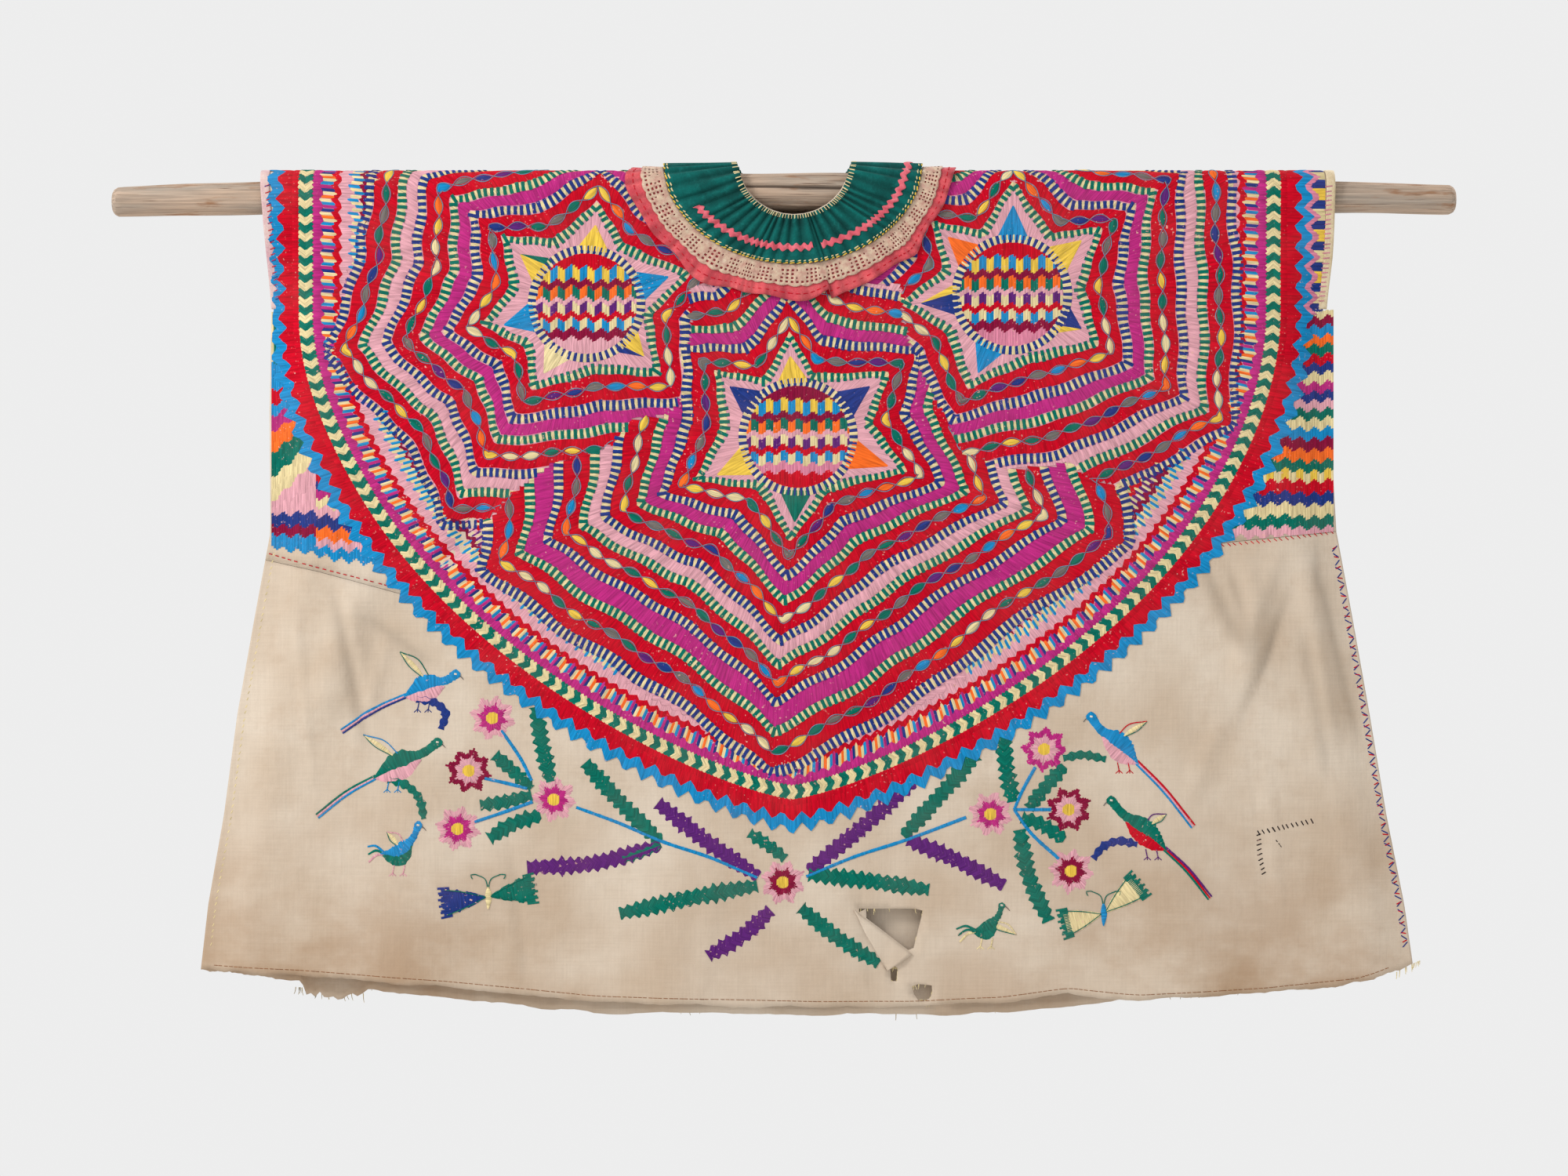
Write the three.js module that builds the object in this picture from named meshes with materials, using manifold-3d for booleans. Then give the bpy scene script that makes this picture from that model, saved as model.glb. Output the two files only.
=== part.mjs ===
// Embroidered cotton huipil, a wide side-seamed blouse with a gathered ruffled collar,
// hanging on a weathered wooden pole that runs through both of its armholes.
// Millimetres. X runs along the pole, the front of the blouse faces -Y and +Z is up.
// The origin is the middle of the pole.
//
// All cloth is laid out in flat cloth coordinates: x across, and v down the cloth from the
// shoulder fold, positive on the front and negative on the back. clothPoint() drapes such a
// place over the pole, and each layer is a wall between two heights off that surface.
import * as THREE from "three";
import Module from "manifold-3d";
import { mergeVertices } from "three/addons/utils/BufferGeometryUtils.js";

const wasm = await Module();
wasm.setup();

// Driving dimensions
const SEAM_GAP = 0.3;
const LAY_GAP = 0.9;
const POLE = { length: 1205, middleRadius: 16.8, endRadius: 13, leftDrop: 9, rightDrop: 7, chamfer: 5 };
const FOLD_RADIUS = 17.5;
const FOLD_ARC = (FOLD_RADIUS * Math.PI) / 2;
const COTTON = 1.2;
const EMBROIDERY = 0.9;
const CLOTH_TOP = COTTON + EMBROIDERY;
const TRIM_CLOTH = 1.0;
const HEM_DEPTH = 9;
const DEPTH_FADE = 220;
const SIDE_ROUND = 46;
const ARMHOLE = { bottom: -107, roundTop: -30, binding: 8 };

// Outline seen from the front: where the two side edges stand at each height
const SIDE_EDGES = [
  { z: 20, left: -469, right: 493 },
  { z: -60, left: -463, right: 491 },
  { z: -108, left: -460, right: 487 },
  { z: -200, left: -462, right: 490 },
  { z: -305, left: -461, right: 496 },
  { z: -380, left: -475, right: 510 },
  { z: -470, left: -491, right: 526 },
  { z: -560, left: -503, right: 541 },
  { z: -640, left: -517, right: 557 },
  { z: -745, left: -529, right: 572 },
];

// Height of the seam between the shoulder length and the skirts
const SKIRT_SEAM = [
  { x: -480, front: -327, back: -328 },
  { x: -413, front: -341, back: -334 },
  { x: -318, front: -366, back: -342 },
  { x: 384, front: -316, back: -318 },
  { x: 510, front: -304, back: -305 },
];

// Height of the worn hems, the back one hanging a little lower
const HEM = [
  { x: -535, front: -698, back: -697 },
  { x: -432, front: -703, back: -710 },
  { x: -309, front: -712, back: -725 },
  { x: -168, front: -726, back: -738 },
  { x: -52, front: -729, back: -739 },
  { x: 29, front: -731, back: -741 },
  { x: 118, front: -731, back: -740 },
  { x: 196, front: -727, back: -738 },
  { x: 253, front: -719, back: -733 },
  { x: 314, front: -725, back: -726 },
  { x: 429, front: -719, back: -716 },
  { x: 515, front: -710, back: -706 },
  { x: 575, front: -690, back: -688 },
];

// The largest soft folds. lean is how far the fold moves along x for each mm down.
const FRONT_FOLDS = [
  { x: -371, top: -330, bottom: -500, lean: -0.32, width: 20, height: 6 },
  { x: -330, top: -215, bottom: -340, lean: 0.55, width: 16, height: -3 },
  { x: -266, top: -270, bottom: -350, lean: -0.5, width: 12, height: -4 },
  { x: -150, top: -60, bottom: -330, lean: -0.1, width: 60, height: 4 },
  { x: 20, top: -130, bottom: -560, lean: 0, width: 80, height: 5 },
  { x: 250, top: -80, bottom: -420, lean: 0.12, width: 60, height: 4 },
  { x: 416, top: -312, bottom: -470, lean: 0.02, width: 11, height: 6 },
  { x: 446, top: -310, bottom: -450, lean: -0.34, width: 9, height: 4 },
  { x: 468, top: -308, bottom: -520, lean: 0.12, width: 11, height: 6 },
  { x: -300, top: -420, bottom: -900, lean: -0.15, width: 46, height: 5 },
  { x: -95, top: -560, bottom: -900, lean: -0.05, width: 40, height: 5 },
  { x: 150, top: -600, bottom: -900, lean: 0.1, width: 34, height: -3 },
  { x: 330, top: -480, bottom: -900, lean: 0.12, width: 48, height: 5 },
];
const BACK_FOLDS = [
  { x: -400, top: -325, bottom: -520, lean: -0.1, width: 14, height: 6 },
  { x: -360, top: -330, bottom: -470, lean: 0.3, width: 12, height: 4 },
  { x: -120, top: -70, bottom: -350, lean: 0.1, width: 70, height: 4 },
  { x: 160, top: -90, bottom: -520, lean: -0.06, width: 70, height: 5 },
  { x: 390, top: -315, bottom: -500, lean: 0.25, width: 16, height: 6 },
  { x: -230, top: -480, bottom: -900, lean: -0.12, width: 44, height: 5 },
  { x: 60, top: -560, bottom: -900, lean: 0.02, width: 46, height: 5 },
  { x: 290, top: -500, bottom: -900, lean: 0.14, width: 46, height: 5 },
];

// The embroidered ground that hangs over the skirts like a rounded shield
const SHIELD = { x: 7, z: -111, halfWidth: 455, halfHeight: 455, power: 1 / 1.3 };

// Collar rings in flat cloth coordinates, all ellipses: halfWidth along x, front and back along v
const NECK = { x: 9, halfWidth: 50, front: 49, back: 30 };
const GREEN_EDGE = { x: 8, halfWidth: 116, front: 93, back: 74 };
const LACE_EDGE = { x: 4.5, halfWidth: 131.5, front: 112, back: 93 };
const CORAL_EDGE = { x: 5.5, halfWidth: 145.5, front: 125, back: 106 };
const CORAL_TUCK = 0.68;
const RICKRACK = { x: 9, halfWidth: 104, front: 79, back: 61, width: 4, swing: 1.4, thickness: 0.9 };
const GATHERS = 56;
const RUFFLE_WAVES = 28;
const GATHER_HEIGHT = { neck: 1.6, edge: 3.4, shoulder: 3 };
const RUFFLE_HEIGHT = 3;

// Rips in the front skirt, corners seen from the front, and the flap folded down from the largest
const RIPS = [
  [
    { x: 63, z: -643 },
    { x: 125, z: -643 },
    { x: 115, z: -683 },
  ],
  [
    { x: 95, z: -693 },
    { x: 102, z: -695 },
    { x: 101, z: -710 },
    { x: 96, z: -708 },
  ],
  [
    { x: 114, z: -710 },
    { x: 135, z: -712 },
    { x: 130, z: -726 },
    { x: 118, z: -725 },
  ],
];
const FLAP = { top: { x: 62, z: -644 }, end: { x: 115, z: -684 }, tip: { x: 95, z: -697 }, thickness: 1.3 };

/** Value of one named column of a table at a place along another, by straight interpolation. */
function lookUp(table, along, column, at) {
  const step = Math.sign(table[1][along] - table[0][along]);
  const next = table.findIndex((row) => (row[along] - at) * step >= 0);
  const i = next < 0 ? table.length - 1 : Math.max(next, 1);
  const [a, b] = [table[i - 1], table[i]];
  return THREE.MathUtils.lerp(a[column], b[column], (at - a[along]) / (b[along] - a[along]));
}

/** How far the folds push the cloth outward at a place. */
function foldHeight(folds, x, z) {
  let height = 0;
  for (const f of folds) {
    const ramp = 0.3 * (f.top - f.bottom);
    const along = THREE.MathUtils.smoothstep(f.top - z, 0, ramp)
      * THREE.MathUtils.smoothstep(z - f.bottom, 0, ramp);
    const off = (x - f.x - f.lean * (f.top - z)) / f.width;
    height += f.height * along * Math.exp(-off * off);
  }
  return height;
}

/** Distance of the inside of the cloth from the middle plane, below the shoulder. */
function clothDepth(x, z, isFront) {
  const hang = HEM_DEPTH + (FOLD_RADIUS - HEM_DEPTH) * Math.exp(z / DEPTH_FADE);
  const left = lookUp(SIDE_EDGES, "z", "left", z);
  const right = lookUp(SIDE_EDGES, "z", "right", z);
  const fromSide = THREE.MathUtils.smoothstep(Math.min(x - left, right - x), 0, SIDE_ROUND);
  const closed = THREE.MathUtils.smoothstep(-z, -ARMHOLE.roundTop, -ARMHOLE.bottom);
  const open = 1 - closed * (1 - fromSide);
  const folds = foldHeight(isFront ? FRONT_FOLDS : BACK_FOLDS, x, z) * fromSide;
  return THREE.MathUtils.lerp(SEAM_GAP / 2, hang + folds, open);
}

/** Height of a flat cloth coordinate v. */
function heightOf(v) {
  return Math.abs(v) < FOLD_ARC ? FOLD_RADIUS * Math.cos(v / FOLD_RADIUS) : FOLD_ARC - Math.abs(v);
}

/** How far down the cloth a height below the fold lies. */
const downTo = (z) => FOLD_ARC - z;

/** Inside surface of the draped cloth at flat coordinates x and v. */
function clothPoint(x, v) {
  const z = heightOf(v);
  if (Math.abs(v) < FOLD_ARC) return new THREE.Vector3(x, -FOLD_RADIUS * Math.sin(v / FOLD_RADIUS), z);
  return new THREE.Vector3(x, -Math.sign(v) * clothDepth(x, z, v > 0), z);
}

/** The same place moved out by a height along the outward normal. */
function clothPointAt(x, v, height) {
  const step = 0.5;
  const across = clothPoint(x + step, v).sub(clothPoint(x - step, v));
  const down = clothPoint(x, v + step).sub(clothPoint(x, v - step));
  const outward = down.cross(across).normalize();
  return clothPoint(x, v).addScaledVector(outward, height);
}

/**
 * A closed wall over a grid of places. place(u, w) gives flat coordinates, inner and outer give
 * the two heights, and closed joins the last u to the first. Side by side along u and down along w.
 */
function wall(place, inner, outer, us, ws, closed = false) {
  const points = [];
  for (const height of [outer, inner]) {
    for (const u of us) {
      for (const w of ws) {
        const { x, v } = place(u, w);
        points.push(clothPointAt(x, v, height(u, w)));
      }
    }
  }
  const faces = [];
  const rows = ws.length;
  for (let i = 0; i < (closed ? us.length : us.length - 1); i += 1) {
    for (let j = 0; j < rows - 1; j += 1) {
      const a = i * rows + j;
      const b = ((i + 1) % us.length) * rows + j;
      faces.push([a, a + 1, b + 1], [a, b + 1, b]);
    }
  }
  return closedSolid(points, faces);
}

/** Joins an outer skin and the inner skin that follows it in the list of points round their rims. */
function closedSolid(points, faces) {
  const inside = points.length / 2;
  const edges = new Set(faces.flatMap(([a, b, c]) => [`${a},${b}`, `${b},${c}`, `${c},${a}`]));
  const all = [...faces, ...faces.map(([a, b, c]) => [c + inside, b + inside, a + inside])];
  for (const edge of edges) {
    const [a, b] = edge.split(",").map(Number);
    if (!edges.has(`${b},${a}`)) all.push([b, a, a + inside], [b, a + inside, b + inside]);
  }
  const geometry = new THREE.BufferGeometry();
  const numbers = points.flatMap((point) => point.toArray());
  geometry.setAttribute("position", new THREE.Float32BufferAttribute(numbers, 3));
  geometry.setIndex(all.flat());
  return outward(geometry);
}

/** Turns a closed geometry's faces outward. */
function outward(geometry) {
  const index = geometry.index.array;
  const [a, b, c] = [new THREE.Vector3(), new THREE.Vector3(), new THREE.Vector3()];
  let volume = 0;
  for (let i = 0; i < index.length; i += 3) {
    [a, b, c].forEach((p, k) => p.fromBufferAttribute(geometry.attributes.position, index[i + k]));
    volume += a.dot(b.cross(c));
  }
  if (volume < 0) {
    for (let i = 0; i < index.length; i += 3) [index[i], index[i + 1]] = [index[i + 1], index[i]];
  }
  return geometry;
}

/** A closed geometry as a boolean solid. */
function asSolid(geometry) {
  const bare = geometry.clone();
  bare.deleteAttribute("normal");
  bare.deleteAttribute("uv");
  const merged = mergeVertices(bare, 1e-4);
  return new wasm.Manifold(new wasm.Mesh({
    numProp: 3,
    vertProperties: new Float32Array(merged.attributes.position.array),
    triVerts: new Uint32Array(merged.index.array),
  }));
}

/** A boolean solid as a geometry again. */
function asGeometry(solid) {
  const mesh = solid.getMesh();
  const geometry = new THREE.BufferGeometry();
  geometry.setAttribute("position", new THREE.BufferAttribute(mesh.vertProperties, 3));
  geometry.setIndex(new THREE.BufferAttribute(mesh.triVerts, 1));
  return geometry;
}

/** A prism along Y whose corners are given as seen from the front. */
function prismThrough(corners, yFrom, yTo) {
  const shape = new THREE.Shape(corners.map(({ x, z }) => new THREE.Vector2(x, z)));
  const prism = new THREE.ExtrudeGeometry(shape, { depth: yTo - yFrom, bevelEnabled: false });
  return prism.rotateX(Math.PI / 2).translate(0, yTo, 0);
}

/** Numbers from a first to a last value in equal steps. */
function evenly(from, to, steps) {
  return Array.from({ length: steps + 1 }, (_, i) => THREE.MathUtils.lerp(from, to, i / steps));
}

/** Columns across each side in thousandths of the width, closer together where the folds are narrow. */
const COLUMNS = {
  front: [0, 14, 30, ...evenly(70, 880, 18), 900, 915, 930, 945, 960, 973, 987, 1000],
  back: [0, 14, 30, 60, 80, 100, 120, ...evenly(160, 820, 13), 860, 890, 920, 945, 972, 988, 1000],
};

/** x of a share of the width at a height, drawn in by the armhole binding. */
function acrossAt(share, z) {
  const inset = z > ARMHOLE.bottom ? ARMHOLE.binding + SEAM_GAP : 0;
  const left = lookUp(SIDE_EDGES, "z", "left", z) + inset;
  const right = lookUp(SIDE_EDGES, "z", "right", z) - inset;
  return THREE.MathUtils.lerp(left, right, share);
}

/** Height of the skirt seam at a share of the width, on the front or the back. */
function seamHeight(share, side) {
  const middle = (SIDE_EDGES[4].z + SKIRT_SEAM[1].front) / 2;
  return lookUp(SKIRT_SEAM, "x", side, acrossAt(share, middle));
}

/** Neck opening as seen from the front, open at the top so that it cuts the fold too. */
function neckOutline(drop) {
  const high = FOLD_RADIUS * 3;
  const rim = evenly(0, Math.PI, 20).map((angle) => ({
    x: NECK.x + NECK.halfWidth * Math.cos(angle),
    z: heightOf(drop * Math.sin(angle)),
  }));
  return [...rim, { x: NECK.x - NECK.halfWidth, z: high }, { x: NECK.x + NECK.halfWidth, z: high }];
}

/** Half of the shoulder length, from the shoulder fold down to the skirt seam. */
function shoulderPanel(isFront) {
  const side = isFront ? 1 : -1;
  const name = isFront ? "front" : "back";
  const notch = downTo(ARMHOLE.bottom);
  const rows = [
    ...evenly(SEAM_GAP / 2, FOLD_ARC, 4),
    ...evenly(FOLD_ARC, notch - 1.5, 3).slice(1),
    ...evenly(notch + 1.5, downTo(-285), 5),
  ];
  const place = (column, row) => {
    const share = column / 1000;
    const z = row === "seam" ? seamHeight(share, name) : heightOf(row);
    return { x: acrossAt(share, z), v: side * (row === "seam" ? downTo(z) : row) };
  };
  const panel = wall(place, () => 0, () => CLOTH_TOP, COLUMNS[name], [...rows, "seam"]);
  const hole = neckOutline(isFront ? NECK.front : NECK.back);
  const reach = FOLD_RADIUS * 2;
  return asGeometry(asSolid(panel).subtract(asSolid(prismThrough(hole, -reach, reach))));
}

/** Height of the lower edge of the embroidered shield at a place across. */
function shieldBottom(x) {
  const off = Math.abs(x - SHIELD.x) / SHIELD.halfWidth;
  if (off >= 1) return SHIELD.z;
  return SHIELD.z - SHIELD.halfHeight * Math.sqrt(1 - off ** (1 / SHIELD.power));
}

/** A skirt, raised where the embroidered shield hangs over it. */
function skirt(isFront) {
  const side = isFront ? 1 : -1;
  const column = isFront ? "front" : "back";
  const shieldRows = 5;
  const plainRows = isFront ? 8 : 6;
  const leastRow = 1.5;
  const place = (at, row) => {
    const share = at / 1000;
    const top = seamHeight(share, column) - SEAM_GAP;
    const edge = Math.min(shieldBottom(acrossAt(share, -400)), top - leastRow * shieldRows);
    const hem = lookUp(HEM, "x", column, acrossAt(share, -710));
    const z = row <= shieldRows
      ? THREE.MathUtils.lerp(top, edge, row / shieldRows)
      : THREE.MathUtils.lerp(edge - leastRow, hem, (row - shieldRows - 1) / plainRows);
    return { x: acrossAt(share, z), v: side * downTo(z) };
  };
  const isRaised = (at, row) => {
    const { x, v } = place(at, row);
    return row <= shieldRows && heightOf(v) > shieldBottom(x) - leastRow;
  };
  const outer = (at, row) => COTTON + (isRaised(at, row) ? EMBROIDERY : 0);
  const rows = evenly(0, shieldRows + plainRows + 1, shieldRows + plainRows + 1);
  return wall(place, () => 0, outer, COLUMNS[column], rows);
}

/** The front skirt with its rips cut through and the torn corner folded down over the cloth. */
function rippedSkirt() {
  let solid = asSolid(skirt(true));
  for (const corners of RIPS) {
    const cutter = prismThrough([...corners].reverse(), -3 * FOLD_RADIUS, 0);
    solid = solid.subtract(asSolid(cutter));
  }
  const { top, end, tip, thickness } = FLAP;
  const place = (u, w) => {
    const [x, z] = ["x", "z"].map((key) => {
      const farSide = THREE.MathUtils.lerp(end[key], tip[key], w);
      return THREE.MathUtils.lerp(top[key], farSide, u);
    });
    return { x, v: downTo(z) };
  };
  const flap = wall(place, () => COTTON / 2, () => COTTON + thickness, evenly(0.12, 1, 5), evenly(0, 1, 3));
  return asGeometry(solid.add(asSolid(flap)));
}

/** Flat coordinates on the ring between two collar ellipses, at an angle and a share outward. */
function ringPlace(inside, outside, angle, share) {
  const mix = (key) => THREE.MathUtils.lerp(inside[key], outside[key], share);
  const drop = Math.sin(angle) > 0 ? mix("front") : mix("back");
  return { x: mix("x") + mix("halfWidth") * Math.cos(angle), v: drop * Math.sin(angle) };
}

/** Angle round the neck of a share of the way round, unevenly spaced as hand-drawn gathers are. */
function angleRound(turn) {
  const angle = 2 * Math.PI * turn;
  return angle + 0.035 * Math.sin(5 * angle) + 0.02 * Math.sin(11 * angle + 1);
}

/** Crest height of the waves at a share of the way round, from 0 in a valley to 1. */
function wave(turn, count) {
  const uneven = 0.8 + 0.2 * Math.sin(14 * Math.PI * turn + 2);
  return uneven * (0.5 - 0.5 * Math.cos(2 * Math.PI * turn * count));
}

/** Underside of the gathered green collar. It lifts over the ruffle tucked under its edge. */
function greenBase(turn, share) {
  const lift = LAY_GAP + (TRIM_CLOTH + LAY_GAP) * share;
  const shoulder = GATHER_HEIGHT.shoulder * Math.abs(Math.cos(angleRound(turn))) ** 3 * (1 - share);
  const gather = THREE.MathUtils.lerp(GATHER_HEIGHT.neck, GATHER_HEIGHT.edge, share) * wave(turn, GATHERS);
  return CLOTH_TOP + lift + shoulder + gather;
}

/** Underside of the coral ruffle, flat under the green collar and waved outside it. */
function coralBase(turn, share) {
  return CLOTH_TOP + LAY_GAP + RUFFLE_HEIGHT * share * wave(turn, RUFFLE_WAVES);
}

/** The gathered green collar. */
function greenCollar() {
  const place = (turn, share) => ringPlace(NECK, GREEN_EDGE, angleRound(turn), share);
  const turns = evenly(0, 1, GATHERS * 4).slice(0, -1);
  return wall(place, greenBase, (t, s) => greenBase(t, s) + TRIM_CLOTH, turns, [0.02, 0.5, 1], true);
}

/** The coral ruffle, tucked under the green collar and showing beyond the lace. */
function coralRuffle() {
  const ring = (turn, share) => {
    const angle = angleRound(turn);
    if (share >= 0) return ringPlace(GREEN_EDGE, CORAL_EDGE, angle, share);
    return ringPlace(NECK, GREEN_EDGE, angle, 1 + (1 - CORAL_TUCK) * share);
  };
  const base = (turn, share) => coralBase(turn, Math.max(share, 0));
  const turns = evenly(0, 1, RUFFLE_WAVES * 4).slice(0, -1);
  return wall(ring, base, (t, s) => base(t, s) + TRIM_CLOTH, turns, [-0.25, 0, 1], true);
}

/** The lace edging, lying on the ruffle just outside the green collar. */
function laceTrim() {
  const start = SEAM_GAP / (CORAL_EDGE.front - GREEN_EDGE.front);
  const end = (LACE_EDGE.front - GREEN_EDGE.front) / (CORAL_EDGE.front - GREEN_EDGE.front);
  const place = (turn, share) => ringPlace(GREEN_EDGE, CORAL_EDGE, angleRound(turn), share);
  const base = (turn, share) => coralBase(turn, share) + TRIM_CLOTH + LAY_GAP;
  const turns = evenly(0, 1, RUFFLE_WAVES * 4).slice(0, -1);
  return wall(place, base, (t, s) => base(t, s) + TRIM_CLOTH, turns, [start, end], true);
}

/** A strand of rickrack braid on the green collar, from one column of gathers to another. */
function rickrackStrand(fromColumn, toColumn) {
  const columns = evenly(fromColumn, toColumn, toColumn - fromColumn);
  const turnOf = (column) => column / (GATHERS * 4);
  const shareOf = (column, across) => {
    const swing = column % 2 === 0 ? RICKRACK.swing : -RICKRACK.swing;
    const fromMiddle = swing + (across - 0.5) * RICKRACK.width;
    const isFront = Math.sin(angleRound(turnOf(column))) > 0;
    const middle = (RICKRACK.halfWidth - NECK.halfWidth) / (GREEN_EDGE.halfWidth - NECK.halfWidth);
    const reach = isFront ? GREEN_EDGE.front - NECK.front : GREEN_EDGE.back - NECK.back;
    const lowest = ((isFront ? RICKRACK.front - NECK.front : RICKRACK.back - NECK.back) / reach);
    const bend = Math.abs(Math.sin(angleRound(turnOf(column))));
    const span = THREE.MathUtils.lerp(GREEN_EDGE.halfWidth - NECK.halfWidth, reach, bend);
    return THREE.MathUtils.lerp(middle, lowest, bend) + fromMiddle / span;
  };
  const place = (column, across) => {
    const turn = turnOf(column);
    return ringPlace(NECK, GREEN_EDGE, angleRound(turn), shareOf(column, across));
  };
  const base = (column, across) => {
    return greenBase(turnOf(column), shareOf(column, across)) + TRIM_CLOTH + SEAM_GAP;
  };
  const top = (column, across) => base(column, across) + RICKRACK.thickness;
  return wall(place, base, top, columns, [0, 1]);
}

/** The stitched binding round one armhole, from the front notch over the shoulder to the back one. */
function armholeBinding(edge) {
  const inward = edge === "left" ? 1 : -1;
  const end = downTo(ARMHOLE.bottom) - 2;
  const place = (across, v) => {
    const x = lookUp(SIDE_EDGES, "z", edge, heightOf(v)) + inward * across * ARMHOLE.binding;
    return { x, v };
  };
  const straight = evenly(FOLD_ARC, end, 7).slice(1);
  const round = evenly(-FOLD_ARC, FOLD_ARC, 8);
  const rows = [...straight.map((v) => -v).reverse(), ...round, ...straight];
  return wall(place, () => 0, () => CLOTH_TOP, edge === "left" ? [0, 1] : [1, 0], rows);
}

/** The pole, thickest in the middle, its axis bowed up a little, its ends chamfered. */
function pole() {
  const half = POLE.length / 2;
  const radiusAt = (x) => POLE.endRadius + (POLE.middleRadius - POLE.endRadius) * (1 - (x / half) ** 2);
  const stations = evenly(-half + POLE.chamfer, half - POLE.chamfer, 10);
  const profile = [
    new THREE.Vector2(0, -half),
    new THREE.Vector2(POLE.endRadius - POLE.chamfer, -half),
    ...stations.map((x) => new THREE.Vector2(radiusAt(x), x)),
    new THREE.Vector2(POLE.endRadius - POLE.chamfer, half),
    new THREE.Vector2(0, half),
  ];
  const lathe = new THREE.LatheGeometry(profile, 16).rotateZ(-Math.PI / 2);
  const position = lathe.attributes.position;
  for (let i = 0; i < position.count; i += 1) {
    const along = position.getX(i) / half;
    const drop = along < 0 ? POLE.leftDrop : POLE.rightDrop;
    position.setZ(i, position.getZ(i) - drop * along * along);
  }
  return asGeometry(asSolid(lathe));
}

/** A named mesh with its own finish. */
function piece(name, geometry, color, roughness) {
  geometry.computeVertexNormals();
  const mesh = new THREE.Mesh(geometry, new THREE.MeshStandardMaterial({ color, roughness, metalness: 0 }));
  mesh.name = name;
  return mesh;
}

const huipil = new THREE.Group();
huipil.add(
  piece("pole", pole(), 0xb59a82, 0.8),
  piece("front_shoulder", shoulderPanel(true), 0xc0203f, 0.85),
  piece("back_shoulder", shoulderPanel(false), 0xc0203f, 0.85),
  piece("front_skirt", rippedSkirt(), 0xc9b496, 0.95),
  piece("back_skirt", skirt(false), 0xc9b496, 0.95),
  piece("armhole_binding_left", armholeBinding("left"), 0xd98fa0, 0.9),
  piece("armhole_binding_right", armholeBinding("right"), 0xd8c8a8, 0.9),
  piece("collar_green", greenCollar(), 0x00695c, 0.85),
  piece("collar_ruffle_coral", coralRuffle(), 0xdd5a60, 0.85),
  piece("collar_lace", laceTrim(), 0xd9c2a8, 0.9),
  piece("rickrack_right", rickrackStrand(-104, 46), 0xd9606a, 0.85),
  piece("rickrack_left", rickrackStrand(49, 93), 0xd9606a, 0.85),
);

export default huipil;
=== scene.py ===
"""Embroidered cotton huipil blouse with a gathered ruffled collar, hanging on a weathered wooden pole.

All cloth is laid out in flat cloth coordinates in millimetres: x across, and v down the cloth from
the shoulder fold, positive on the front and negative on the back. Drape puts such a place on the
hanging blouse, and every layer of cloth or thread is a height off that surface.
"""
import logging
import math
from collections.abc import Callable
from dataclasses import dataclass
from enum import Enum
from functools import cached_property

import bpy
import numpy as np
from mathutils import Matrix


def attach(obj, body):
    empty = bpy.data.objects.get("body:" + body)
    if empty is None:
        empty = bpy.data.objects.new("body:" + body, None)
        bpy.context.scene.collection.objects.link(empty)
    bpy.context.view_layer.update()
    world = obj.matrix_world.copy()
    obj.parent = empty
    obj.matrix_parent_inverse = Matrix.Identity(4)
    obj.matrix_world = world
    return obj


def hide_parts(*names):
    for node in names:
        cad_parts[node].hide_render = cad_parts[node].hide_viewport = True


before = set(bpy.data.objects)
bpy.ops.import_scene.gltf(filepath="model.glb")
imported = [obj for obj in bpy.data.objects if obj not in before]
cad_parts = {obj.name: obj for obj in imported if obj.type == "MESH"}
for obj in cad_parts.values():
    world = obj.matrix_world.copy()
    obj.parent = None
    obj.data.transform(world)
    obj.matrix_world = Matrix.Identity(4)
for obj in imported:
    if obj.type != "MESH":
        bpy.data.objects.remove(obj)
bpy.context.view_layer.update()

MM = 0.001
LOG = logging.getLogger("huipil")

Array = np.ndarray
Place = tuple[float, float]
Point = tuple[float, float, float]
Piece = bpy.types.Object
Material = bpy.types.Material
Tree = bpy.types.NodeTree
Socket = bpy.types.NodeSocket


def linear(code: str) -> tuple[float, float, float, float]:
    """Turns an sRGB hex colour into the linear colour that a shader takes.

    Args:
        code: Colour such as "#D0021F".

    Returns:
        Red, green, blue and alpha.
    """
    parts = [int(code[i:i + 2], 16) / 255 for i in (1, 3, 5)]
    red, green, blue = (c / 12.92 if c <= 0.04045 else ((c + 0.055) / 1.055) ** 2.4 for c in parts)
    return red, green, blue, 1.0


class Thread(Enum):
    """Dyed embroidery threads, each by its sRGB colour."""

    CRIMSON = "#C0001E"
    BURGUNDY = "#840A36"
    MAGENTA = "#B42878"
    ROSE = "#D27F98"
    PINK = "#D89EA8"
    ORANGE = "#F06A24"
    YELLOW = "#E4BE48"
    CREAM = "#DCCA98"
    WHITE = "#D8CFBE"
    GREEN = "#006A5A"
    BLUE = "#1484BC"
    STEEL = "#5C8FA6"
    NAVY = "#1E367C"
    PURPLE = "#5A2270"
    GREY = "#6F6A66"
    BROWN = "#8A5A34"
    BLACK = "#1C1A1C"

    @property
    def colour(self) -> tuple[float, float, float, float]:
        """Linear colour of the thread."""
        return linear(self.value)


(CRIMSON, BURGUNDY, MAGENTA, ROSE, PINK, ORANGE, YELLOW, CREAM, WHITE,
 GREEN, BLUE, STEEL, NAVY, PURPLE, GREY, BROWN, BLACK) = Thread


def smoothstep(value: Array, low: float, high: float) -> Array:
    """Soft step from 0 at low to 1 at high."""
    t = np.clip((value - low) / (high - low), 0, 1)
    return t * t * (3 - 2 * t)


def mix(a: Array, b: Array, share: Array) -> Array:
    """Straight mix from a to b."""
    return a + (b - a) * share


def table(kind: type, *rows: tuple) -> tuple:
    """A table's rows as objects of one kind, whose fields name the columns."""
    return tuple(kind(*row) for row in rows)


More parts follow.
